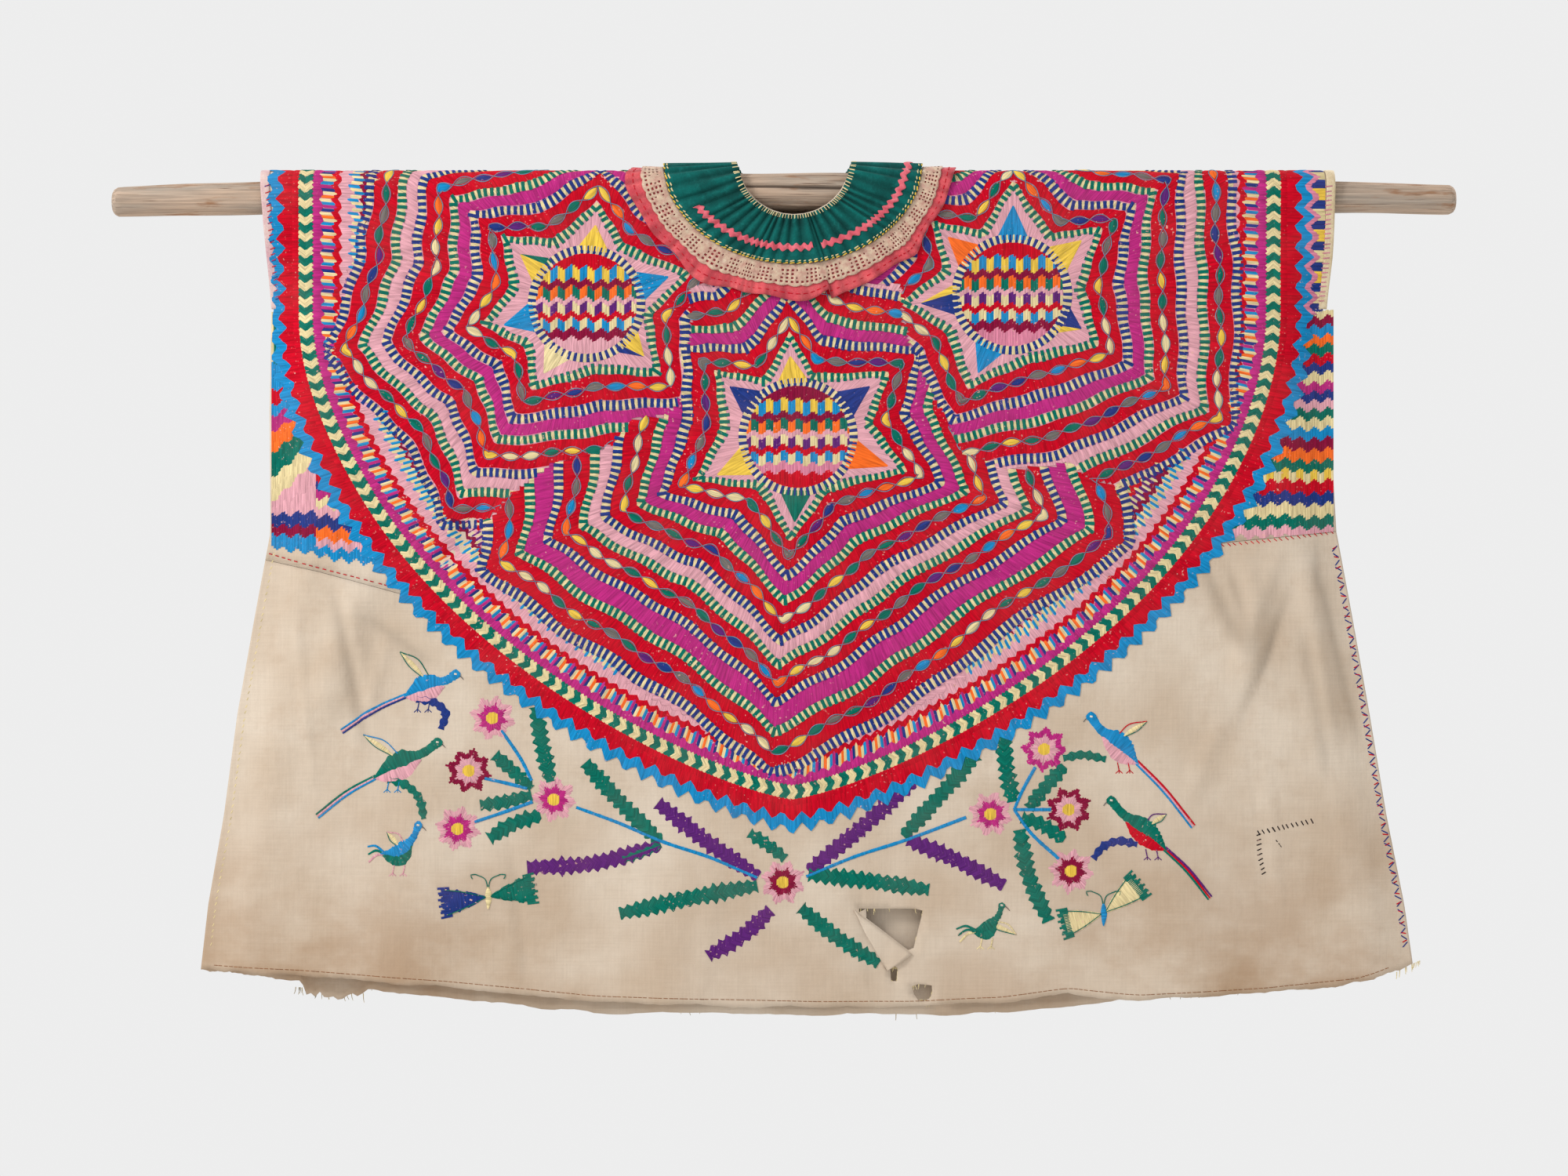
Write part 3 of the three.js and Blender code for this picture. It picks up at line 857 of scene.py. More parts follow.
class Needlework:
    """Threads gathered piece by piece in flat coordinates, then draped as one mesh."""

    def __init__(self, side: Side | None, seed: int) -> None:
        """Starts an empty layer on one side of the blouse, or on both where v keeps its own sign.

        Args:
            side: Front or back, if only one.
            seed: Seed of the layer's random draws.
        """
        self.side = side
        self.random = np.random.default_rng(seed)
        self.parts: list[tuple[Array, ...]] = []
        self.quads: list[Array] = []
        self.count = 0

    def add(self, x: Array, v: Array, lift: Array, quads: Array, thread: Array, along: Array,
            across: Array) -> None:
        """Adds thread by its points and faces.

        Args:
            x: Places across.
            v: Places down the cloth, as on the front.
            lift: Heights off the cloth's inside.
            quads: Four point numbers for each face.
            thread: One linear colour for all, or one for each point.
            along: Distance along the stitched line, so that threads lie side by side.
            across: Distance along each thread.
        """
        size = x.size
        tint = np.full(size, self.random.uniform(0, 400))
        arrays = [np.broadcast_to(a, x.shape).ravel() for a in (v, lift, along, across)]
        colours = np.broadcast_to(thread, (size, 4))
        self.parts.append((x.ravel(), *arrays, tint, colours))
        self.quads.append(quads + self.count)
        self.count += size

    def grid(self, x: Array, v: Array, lift: Array, thread: Thread, along: Array, across: Array,
             kept: Array | None = None) -> None:
        """Adds a grid of points as one patch of thread, all cells of it or the kept ones.

        Args:
            x: Places across, as a grid.
            v: Places down the cloth.
            lift: Height off the cloth's inside.
            thread: Thread to stitch with.
            along: Distance along the stitched line.
            across: Distance along each thread.
            kept: Which cells of the grid are thread, if not all.
        """
        quads = grid_quads(*x.shape)
        if kept is not None:
            quads = quads[kept.ravel()]
        if len(quads):
            self.add(x, v, lift, quads, np.array(thread.colour), along, across)

    def piece(self, name: str, finish: Material) -> Piece:
        """Drapes all that was added as one mesh, and stores its colours and places.

        Args:
            name: Name of the piece.
            finish: Material of the piece.

        Returns:
            The new object.
        """
        x, v, lift, along, across, tint = (np.concatenate([p[i] for p in self.parts]) for i in range(6))
        colours = np.concatenate([p[6] for p in self.parts])
        quads = np.concatenate(self.quads)
        if self.side is not None:
            quads = quads[self.off_the_neck(x[quads].mean(axis=1), v[quads].mean(axis=1))]
        used, quads = np.unique(quads, return_inverse=True)
        quads = quads.reshape(-1, 4)
        every = (x, v, lift, along, across, tint, colours)
        x, v, lift, along, across, tint, colours = (values[used] for values in every)
        if self.side is not None:
            v = np.maximum(v, 0.02) * self.side.value
        points = DRAPE.place(x, v, lift)
        piece = mesh_piece(name, points, self.facing_out(points, quads), finish)
        give_place(piece, along, across, tint)
        dyed = piece.data.attributes.new("thread_colour", "FLOAT_COLOR", "POINT")
        dyed.data.foreach_set("color", colours.astype(np.float32).ravel())
        return piece

    def off_the_neck(self, x: Array, v: Array) -> Array:
        """Which places lie outside the neck hole, under the collar or beyond it."""
        drop = NECK.front if self.side is Side.FRONT else NECK.back
        return np.hypot((x - NECK.x) / NECK.half_width, v / drop) > NECK_MARGIN

    def stitches(self, start: tuple[Array, Array], end: tuple[Array, Array], width: Array, lift: Array,
                 thread: Thread, swell: float = 0.34) -> None:
        """Adds rounded straight stitches, one for each pair of end places.

        Args:
            start: Where each stitch comes up, across and down.
            end: Where each goes in again.
            width: Width of each.
            lift: Height of the layer that they lie on.
            thread: Their thread.
            swell: How far they stand up from it.
        """
        x0, v0, x1, v1 = (np.atleast_1d(np.asarray(a, float)) for a in (*start, *end))
        count = len(x0)
        if not count:
            return
        shares = np.array([0, 0.12, 0.5, 0.88, 1])[None, :, None]
        sides = np.array([-0.5, 0.0, 0.5])[None, None, :]
        length = np.maximum(np.hypot(x1 - x0, v1 - v0), 1e-6)
        across_x = (-(v1 - v0) / length)[:, None, None]
        across_v = ((x1 - x0) / length)[:, None, None]
        wide = np.broadcast_to(width, (count,))[:, None, None] * sides
        x = mix(x0[:, None, None], x1[:, None, None], shares) + across_x * wide
        v = mix(v0[:, None, None], v1[:, None, None], shares) + across_v * wide
        raised = ((shares > 0) & (shares < 1)) & (sides == 0)
        base = np.broadcast_to(lift, (count,))[:, None, None]
        height = base + np.where(raised, swell, -HEIGHTS.edge) + 0 * x
        quads = (grid_quads(5, 3)[None] + 15 * np.arange(count)[:, None, None]).reshape(-1, 4)
        along = np.arange(count)[:, None, None] * 3.1 + wide + 0 * x
        across = length[:, None, None] * shares + 0 * x
        self.add(x.ravel(), v.ravel(), height.ravel(), quads, np.array(thread.colour), along.ravel(),
                 across.ravel())

    def stroke(self, points: tuple[Place, ...], widths: tuple[float, ...], lift: float,
               thread: Thread, teeth: float = 0.0, pitch: float = 7.0, swell: float = 0.45,
               vein: float = 1.0) -> None:
        """Adds a tapered line of satin stitch through places, smooth between them.

        Args:
            points: Places across and down.
            widths: Full widths, spread evenly from the first point to the last.
            lift: Height of the layer below.
            thread: Its thread.
            teeth: Share of the width that its toothed edges cut in, 0 for smooth edges.
            pitch: Distance between teeth.
            swell: Height of its middle.
            vein: Share of that height along the middle line, below 1 where a leaf is stitched in two halves.
        """
        x, v = smooth_line(np.array(points, float), 1.6)
        length = arc_length(x, v)
        tangent = np.stack([np.gradient(x), np.gradient(v)])
        tangent /= np.maximum(np.hypot(*tangent), 1e-9)
        width = np.interp(length / length[-1], np.linspace(0, 1, len(widths)), widths)
        uneven = self.random.uniform(0.9, 1.1, len(x))
        cut = 1 - teeth * (0.5 + 0.5 * zigzag(length, pitch)) if teeth else 1.0
        sides = np.array([-0.5, -0.34, 0.0, 0.34, 0.5])
        off = (width * cut * uneven)[:, None] * sides[None, :]
        grid_x = x[:, None] - tangent[1][:, None] * off
        grid_v = v[:, None] + tangent[0][:, None] * off
        height = lift + swell * np.array([-0.7, 0.85, vein, 0.85, -0.7])[None, :] + 0 * grid_x
        slope = 0.8 * np.abs(off) if vein < 1 else 0 * off
        self.grid(grid_x, grid_v, height, thread, length[:, None] + slope, off)

    def facing_out(self, points: Array, quads: Array) -> Array:
        """Turns each face so that it looks away from the middle plane or up over the fold.

        Args:
            points: Points in millimetres.
            quads: Four point numbers for each face.

        Returns:
            The faces, each turned the right way.
        """
        corners = points[quads]
        normals = np.cross(corners[:, 2] - corners[:, 0], corners[:, 3] - corners[:, 1])
        middle = corners.mean(axis=1)
        outward = np.stack([middle[:, 0] * 0, middle[:, 1], np.clip(middle[:, 2], 0, None)], axis=1)
        inward = (normals * outward).sum(axis=1) < 0
        quads = quads.copy()
        quads[inward] = quads[inward][:, ::-1]
        return quads


def arc_length(x: Array, v: Array) -> Array:
    """Distance along a line of points, from 0."""
    steps = np.hypot(np.diff(x), np.diff(v))
    return np.concatenate([[0], np.cumsum(steps)])


def smooth_line(points: Array, spacing: float) -> tuple[Array, Array]:
    """Evenly spaced places on a smooth curve through points.

    Args:
        points: Places that the curve goes through.
        spacing: Distance between two places on it.

    Returns:
        Places across and places down the cloth.
    """
    if len(points) == 2:
        count = max(3, int(np.hypot(*(points[1] - points[0])) / spacing))
        line = mix(points[0], points[1], np.linspace(0, 1, count)[:, None])
        return line[:, 0], line[:, 1]
    ends = np.concatenate([[2 * points[0] - points[1]], points, [2 * points[-1] - points[-2]]])
    pieces = []
    for a, b, c, d in zip(ends, ends[1:], ends[2:], ends[3:]):
        t = np.linspace(0, 1, 24, endpoint=False)[:, None]
        curve = 2 * b + (c - a) * t + (2 * a - 5 * b + 4 * c - d) * t ** 2 + (3 * b - a - 3 * c + d) * t ** 3
        pieces.append(curve / 2)
    line = np.concatenate([*pieces, points[-1:]])
    length = arc_length(*line.T)
    even = np.linspace(0, length[-1], max(4, int(length[-1] / spacing)))
    return np.interp(even, length, line[:, 0]), np.interp(even, length, line[:, 1])


def inside_polygon(x: Array, v: Array, corners: tuple[Place, ...]) -> Array:
    """Which places lie inside a polygon.

    Args:
        x: Places across.
        v: Places down the cloth.
        corners: Corners of the polygon in order.

    Returns:
        True for each place inside.
    """
    found = np.zeros(np.shape(x), bool)
    for (x0, v0), (x1, v1) in zip(corners, corners[1:] + corners[:1]):
        crosses = (v0 > v) != (v1 > v)
        if v0 != v1:
            found ^= crosses & (x < (x1 - x0) * (v - v0) / (v1 - v0) + x0)
    return found


def zigzag(distance: Array, pitch: float) -> Array:
    """Zigzag from -1 to 1 that repeats every pitch."""
    return 4 * np.abs(distance / pitch - np.floor(distance / pitch + 0.5)) - 1


@dataclass(frozen=True)
class Ring:
    """An ellipse round the neck in flat cloth coordinates, with its drop on the front and back."""

    x: float
    half_width: float
    front: float
    back: float


NECK = Ring(9, 50, 49, 30)
GREEN_EDGE = Ring(8, 116, 93, 74)
LACE_EDGE = Ring(4.5, 131.5, 112, 93)
CORAL_EDGE = Ring(5.5, 145.5, 125, 106)
RICKRACK_LINE = Ring(9, 104, 79, 61)
NECK_MARGIN = 1.2


@dataclass(frozen=True)
class Heights:
    """Heights of the layers of thread off the inside of the cloth."""

    cotton: float = 1.2
    ground: float = 1.45
    side_stars: float = 1.7
    centre_star: float = 1.95
    border: float = 2.2
    puff: float = 0.3
    stitch: float = 0.32
    tuck: float = 0.35
    edge: float = 0.12


HEIGHTS = Heights()


@dataclass(frozen=True)
class Shield:
    """Outer edge of the embroidered ground: straight sides, then a rounded shield."""

    x: float = 7.0
    straight: float = 138.5
    half_width: float = 455.0
    power: float = 1.3
    samples: int = 420
    left_bulge: float = 7.0
    right_bulge: float = 3.0
    bulge_fade: float = 300.0

    def bulge(self, x: Array, v: Array) -> Array:
        """How far the sides stand out near the shoulders, below 0 on the left."""
        fade = smoothstep(self.bulge_fade - v, 0, self.bulge_fade - self.straight)
        return np.where(x < self.x, -self.left_bulge, self.right_bulge) * fade

    def inset_of(self, x: Array, v: Array) -> Array:
        """How far inside the shield's edge a place lies, below 0 outside it.

        Args:
            x: Places across.
            v: Places down the cloth.

        Returns:
            Insets of the places.
        """
        across = np.abs(x - self.bulge(x, v) - self.x)
        down = np.clip(v - self.straight, 0, None)
        scale = np.hypot(across, down) + 1e-6
        for _ in range(10):
            scale = np.sqrt(across ** self.power * scale ** (2 - self.power) + down ** 2)
        return self.half_width - scale

    def edge_below(self, x: Array, inset: float) -> Array:
        """How far down the curve at an inset lies at a place across, straight's end beyond it.

        Args:
            x: Places across.
            inset: How far inside the shield's edge.

        Returns:
            Places down the cloth.
        """
        width = self.half_width - inset
        off = np.clip(np.abs(x - self.x) / width, 0, 1)
        return self.straight + width * np.sqrt(1 - off ** self.power)

    def line(self, inset: Array, turns: Array) -> tuple[Array, Array]:
        """Flat places at an inset, for turns from 0 at the left top to 1 at the right top.

        Args:
            inset: How far inside the shield's edge.
            turns: Places along the border.

        Returns:
            Places across and places down the cloth.
        """
        straight_share = self.straight / (2 * self.straight + 2.56 * self.half_width)
        bend = (turns - straight_share) / (1 - 2 * straight_share)
        angle = np.pi * (1 - np.clip(bend, 0, 1))
        width, height = self.half_width - inset, self.half_width - inset
        cosine = np.cos(angle)
        x = self.x + width * np.sign(cosine) * np.abs(cosine) ** (2 / self.power)
        v = self.straight + height * np.sin(angle)
        edge = np.minimum(turns, 1 - turns) / straight_share
        v = np.where(edge < 1, self.straight * edge, v)
        return x + self.bulge(x, v), v

    def even_turns(self) -> Array:
        """Turns that are evenly spaced along the outer edge.

        Returns:
            The turns.
        """
        dense = np.linspace(0, 1, 4000)
        length = arc_length(*self.line(0 * dense, dense))
        return np.interp(np.linspace(0, length[-1], self.samples), length, dense)


SHIELD = Shield()


@dataclass(frozen=True)
class FillRow:
    """A row that follows the border and shows where no star's band reaches."""

    outer: float
    inner: float
    swing: float
    threads: tuple[Thread, ...]


FILL_ROWS = table(
    FillRow,
    (40.0, 54.0, 2.6, (CREAM, BLUE, MAGENTA, NAVY, CREAM, ORANGE)), (51.0, 60.0, 2.8, (CRIMSON,)),
    (57.0, 71.0, 3.2, (PINK,)), (68.0, 79.0, 3.0, (BLUE, CREAM)), (76.0, 86.0, 3.0, (BURGUNDY,)),
    (83.0, 94.0, 3.0, (CREAM, PURPLE)), (91.0, 101.0, 3.0, (CRIMSON,)), (98.0, 109.0, 3.0, (CREAM, GREEN)),
)


@dataclass
class Border:
    """Rows of stitching that follow the shield's edge."""

    side: Side
    swing: float = 5.4
    tooth_pitch: float = 17.6
    mark_pitch: float = 2.6
    margin: float = 1.0
    red_edge: Place = (2.0, 17.0)
    blue_edge: Place = (-5.8, 6.6)
    pink_edge: Place = (-10.0, -2.0)
    marks: Place = (-18.6, -3.0)
    red_band: Place = (15.0, 22.8)
    chevron_band: Place = (21.6, 33.6)
    chevron_pitch: float = 7.3
    magenta_band: Place = (33.4, 42.0)
    fine_swing: float = 2.6
    flame_pitch: float = 3.0
    flame_lean: float = 1.2
    flame_unevenness: float = 0.8
    wave: float = 12.0

    def __post_init__(self) -> None:
        """Lays out the rows."""
        self.work = Needlework(self.side, 11 + self.side.value)
        self.turns = SHIELD.even_turns()
        self.length = arc_length(*SHIELD.line(0 * self.turns, self.turns))
        self.teeth = self.swing * zigzag(self.length, self.tooth_pitch)

    def row(self, outer: Array, inner: Array, thread: Thread, lift: float, steps: int = 3,
            shown: Callable[[Array, Array], Array] | None = None) -> None:
        """Adds a satin row between two insets, or only the part of it at the places that are shown.

        Args:
            outer: Inset of the outer edge.
            inner: Inset of the inner edge.
            thread: Thread to stitch with.
            lift: Height off the cloth's inside.
            steps: Number of cells across the row.
            shown: Tells which places are stitched, if not all.
        """
        shares = np.linspace(0, 1, steps + 1)
        inset = mix(np.asarray(outer)[..., None] * np.ones((len(self.turns), 1)),
                    np.asarray(inner)[..., None] * np.ones((len(self.turns), 1)), shares)
        x, v = SHIELD.line(inset, np.repeat(self.turns[:, None], steps + 1, 1))
        z = DRAPE.height_of(v)
        x = np.clip(x, DRAPE.edge("left", z) + self.margin, DRAPE.edge("right", z) - self.margin)
        wide = np.hypot(np.diff(x, axis=1), np.diff(v, axis=1))[1:] > 0.1
        puff = HEIGHTS.puff * np.sin(np.pi * shares) ** 0.5 - HEIGHTS.tuck * ((shares == 0) | (shares == 1))
        along = np.repeat(self.length[:, None], steps + 1, 1)
        kept = wide if shown is None else wide & shown(x, v)[1:, 1:]
        self.work.grid(x, v, lift + puff + 0 * x, thread, along, inset, kept)

    def upright(self, starts: Array, width: float, outer: Array, inner: Array, thread: Thread, lift: float,
                slant: float = 0.0) -> None:
        """Adds stitches of one thread square to the border, from one inset to another.

        Args:
            starts: Where each stitch stands along the border.
            width: Width of a stitch.
            outer: Inset of the outer edge.
            inner: Inset of the inner edge.
            thread: Thread to stitch with.
            lift: Height off the cloth's inside.
            slant: How far a stitch leans along the border.
        """
        ends = []
        for inset, distance in ((outer, starts), (inner, starts + slant)):
            turns = np.interp(distance, self.length, self.turns)
            ends.append(SHIELD.line(np.broadcast_to(inset, turns.shape).astype(float), turns))
        self.work.stitches(ends[0], ends[1], width, lift, thread, HEIGHTS.stitch)

    def flames(self, row: FillRow, lift: float) -> None:
        """Adds a row of narrow flames in turn, its two edges swinging together in zigzag.

        Args:
            row: The row and its threads.
            lift: Height off the cloth's inside.
        """
        middles = np.arange(0, self.length[-1], self.flame_pitch)
        uneven = self.work.random.uniform(-self.flame_unevenness, self.flame_unevenness, len(middles))
        sway = row.swing * zigzag(middles, self.wave) + uneven
        turns = np.interp(middles, self.length, self.turns)
        free = open_ground(*SHIELD.line(0 * turns + (row.outer + row.inner) / 2, turns))
        for number, thread in enumerate(row.threads):
            chosen = free & (np.arange(len(middles)) % len(row.threads) == number)
            self.upright(middles[chosen], self.flame_pitch * 0.98, (row.outer + sway)[chosen],
                         (row.inner + sway)[chosen], thread, lift, self.flame_lean)

    def right_edge(self, lift: float, below: float) -> None:
        """Adds the pink zigzag and the navy, cream and yellow marks inside the right armhole.

        Args:
            lift: Height off the cloth's inside.
            below: How far down the cloth it reaches.
        """
        outer, inner = self.pink_edge
        self.row(outer + self.teeth, inner + self.teeth, ROSE, lift - 0.1, 2,
                 lambda x, v: (x > 0) & (v < below))
        places = np.arange(1.5, below, self.mark_pitch)
        turn = np.arange(len(places))
        for thread, at in (
            (NAVY, turn % 7 < 3),
            (CREAM, (turn % 7 > 2) & (turn % 14 < 7)),
            (YELLOW, (turn % 7 > 2) & (turn % 14 > 6)),
        ):
            starts = self.length[-1] - places[at]
            self.upright(starts, self.mark_pitch * 1.04, *self.marks, thread, lift - 0.6)

    def chevrons(self, lift: float) -> None:
        """Adds the chain of green and cream chevrons, pointing along the border.

        Args:
            lift: Height off the cloth's inside.
        """
        outer, inner = self.chevron_band
        pitch = self.chevron_pitch
        middle = (outer + inner) / 2
        slant = pitch * 0.75
        count = int(self.length[-1] / pitch)
        for number, thread in enumerate((GREEN, CREAM)):
            starts = np.arange(number, count, 2) * pitch
            for shift in (-0.25, 0.25):
                begin = starts + pitch * shift
                self.upright(begin, pitch * 0.56, outer, middle + 0.4, thread, lift, slant)
                self.upright(begin + slant, pitch * 0.56, middle - 0.4, inner, thread, lift, -slant)

    def build(self, finish: Material) -> Piece:
        """Adds every row from the outside in and drapes them.

        Args:
            finish: Material of the piece.

        Returns:
            The new object.
        """
        lift = HEIGHTS.border
        teeth = self.teeth
        fine = self.fine_swing * zigzag(self.length, self.wave)
        self.row(self.red_edge[0] + teeth, self.red_edge[1] + 0 * teeth, CRIMSON, lift - 0.2)
        self.row(self.blue_edge[0] + teeth, self.blue_edge[1] + teeth, BLUE, lift + 0.05, 2)
        self.row(*self.red_band, CRIMSON, lift - 0.15)
        self.chevrons(lift)
        self.row(self.magenta_band[0], self.magenta_band[1] + fine, MAGENTA, lift - 0.1)
        for row in FILL_ROWS:
            if len(row.threads) > 1:
                self.flames(row, HEIGHTS.ground + 0.1)
            else:
                self.row(row.outer + fine, row.inner + fine, row.threads[0], HEIGHTS.ground + 0.16, 2,
                         open_ground)
        self.right_edge(lift, DRAPE.down_to(DRAPE.armhole_bottom) + 2)
        return self.work.piece(f"border_rows_{self.side.title}", finish)


@dataclass(frozen=True)
class Ray:
    """One of the six points of a star: its outline tip, its coloured ray, and the valley after it.

    All are offsets in millimetres from the star's middle, across and down.
    """

    tip: Place
    valley: Place
    ray: Place
    thread: Thread
    shade: Thread


@dataclass(frozen=True)
class Star:
    """A six-pointed star of the traditional pattern, with its ring and the bands that echo it."""

    name: str
    x: float
    v: float
    ring: float
    reach: float
    rays: tuple[Ray, ...]
    caps: tuple[Thread, Thread]
    second: Thread

    def grown(self, growth: float) -> tuple[Place, ...]:
        """Corners of the outline moved outward.

        Args:
            growth: How far outside the star's outline, in millimetres.

        Returns:
            The corners in order.
        """
        corners = [corner for ray in self.rays for corner in (ray.tip, ray.valley)]
        scales = [1 + growth / math.hypot(*corner) for corner in corners]
        return tuple((self.x + x * s, self.v + v * s) for (x, v), s in zip(corners, scales))


LEFT_STAR = Star(
    "left_star", -176.4, 129.0, 52.5, 147.0,
    (
        Ray((9, -92), (33, -54), (8, -70), YELLOW, YELLOW),
        Ray((93, -28), (59, 10), (73, -24), BLUE, BLUE),
        Ray((65, 64), (8, 63), (51, 47), YELLOW, NAVY),
        Ray((-50, 76), (-55, 38), (-38, 62), CREAM, CREAM),
        Ray((-95, 18), (-67, -16), (-74, 19), BLUE, BLUE),
        Ray((-77, -61), (-29, -57), (-59, -44), YELLOW, GREEN),
    ),
    (CRIMSON, PINK), BURGUNDY,
)
CENTRE_STAR = Star(
    "centre_star", 12.6, 248.0, 53.2, 214.0,
    (
        Ray((-8, -94), (14, -57), (-7, -72), YELLOW, YELLOW),
        Ray((81, -58), (67, -13), (64, -45), NAVY, NAVY),
        Ray((97, 31), (26, 50), (80, 26), ORANGE, ORANGE),
        Ray((-8, 94), (-36, 46), (-3, 76), GREEN, GREEN),
        Ray((-94, 39), (-68, -8), (-72, 34), YELLOW, YELLOW),
        Ray((-76, -60), (-31, -52), (-61, -45), NAVY, NAVY),
    ),
    (BURGUNDY, CRIMSON), ROSE,
)
RIGHT_STAR = Star(
    "right_star", 203.7, 120.6, 53.9, 147.0,
    (
        Ray((1, -101), (37, -54), (1, -79), BLUE, BLUE),
        Ray((82, -60), (64, -5), (62, -48), YELLOW, YELLOW),
        Ray((79, 47), (18, 60), (62, 31), NAVY, YELLOW),
        Ray((-40, 85), (-57, 36), (-30, 70), BLUE, BLUE),
        Ray((-99, 8), (-62, -22), (-81, 8), NAVY, YELLOW),
        Ray((-71, -64), (-27, -58), (-57, -51), ORANGE, ORANGE),
    ),
    (CRIMSON, ROSE), BURGUNDY,
)

CENTRE_GROUND = (
    (-84, 112), (-84, 205), (-105, 229), (-135, 233), (-155, 256), (-211, 274), (-244, 300), (-278, 336),
    (-380, 440), (0, 700), (420, 400), (330, 300), (270, 284), (256, 272), (203, 277), (158, 261),
    (122, 186),
    (114, 166), (105, 138), (105, 112),
)
CORE_GROWTH = 34.0
SIDE_STARS_MEET = 5.6


def open_ground(x: Array, v: Array) -> Array:
    """Which places no star's bands cover.

    Args:
        x: Places across.
        v: Places down the cloth.

    Returns:
        True for each place that is free.
    """
    hidden = np.zeros(np.shape(x), bool)
    for star in (LEFT_STAR, RIGHT_STAR, CENTRE_STAR):
        reached = inside_polygon(x, v, star.grown(star.reach - 10))
        hidden |= reached & inside_polygon(x, v, CENTRE_GROUND) if star is CENTRE_STAR else reached
    return ~hidden


class BandKind(Enum):
    """How a band round a star is stitched."""

    SATIN = "satin"
    CHAIN = "chain"
    BARS = "bars"


SATIN, CHAIN, BARS = BandKind


@dataclass(frozen=True)
class Band:
    """A band round a star, between two distances out from the star's outline."""

    kind: BandKind
    start: float
    end: float
    thread: Thread


BANDS = table(
    Band,
    (BARS, -9.0, 0.5, GREEN), (CHAIN, 0.0, 27.0, CRIMSON), (BARS, 27.0, 36.5, NAVY),
    (SATIN, 36.5, 50.0, MAGENTA), (BARS, 50.0, 58.5, GREEN), (CHAIN, 58.5, 85.0, CRIMSON),
    (BARS, 85.0, 93.5, NAVY), (SATIN, 93.5, 105.5, PINK), (BARS, 105.5, 114.0, GREEN),
    (CHAIN, 114.0, 138.5, CRIMSON), (BARS, 138.5, 147.0, NAVY), (SATIN, 147.0, 165.0, MAGENTA),
    (BARS, 165.0, 174.0, GREEN), (CHAIN, 174.0, 204.0, CRIMSON), (BARS, 204.0, 214.0, NAVY),
)
CHAIN_THREADS = (
    YELLOW, GREEN, GREY, CREAM, GREEN, ORANGE, YELLOW,
    NAVY, CREAM, GREY, BLUE, GREEN, PURPLE,
)


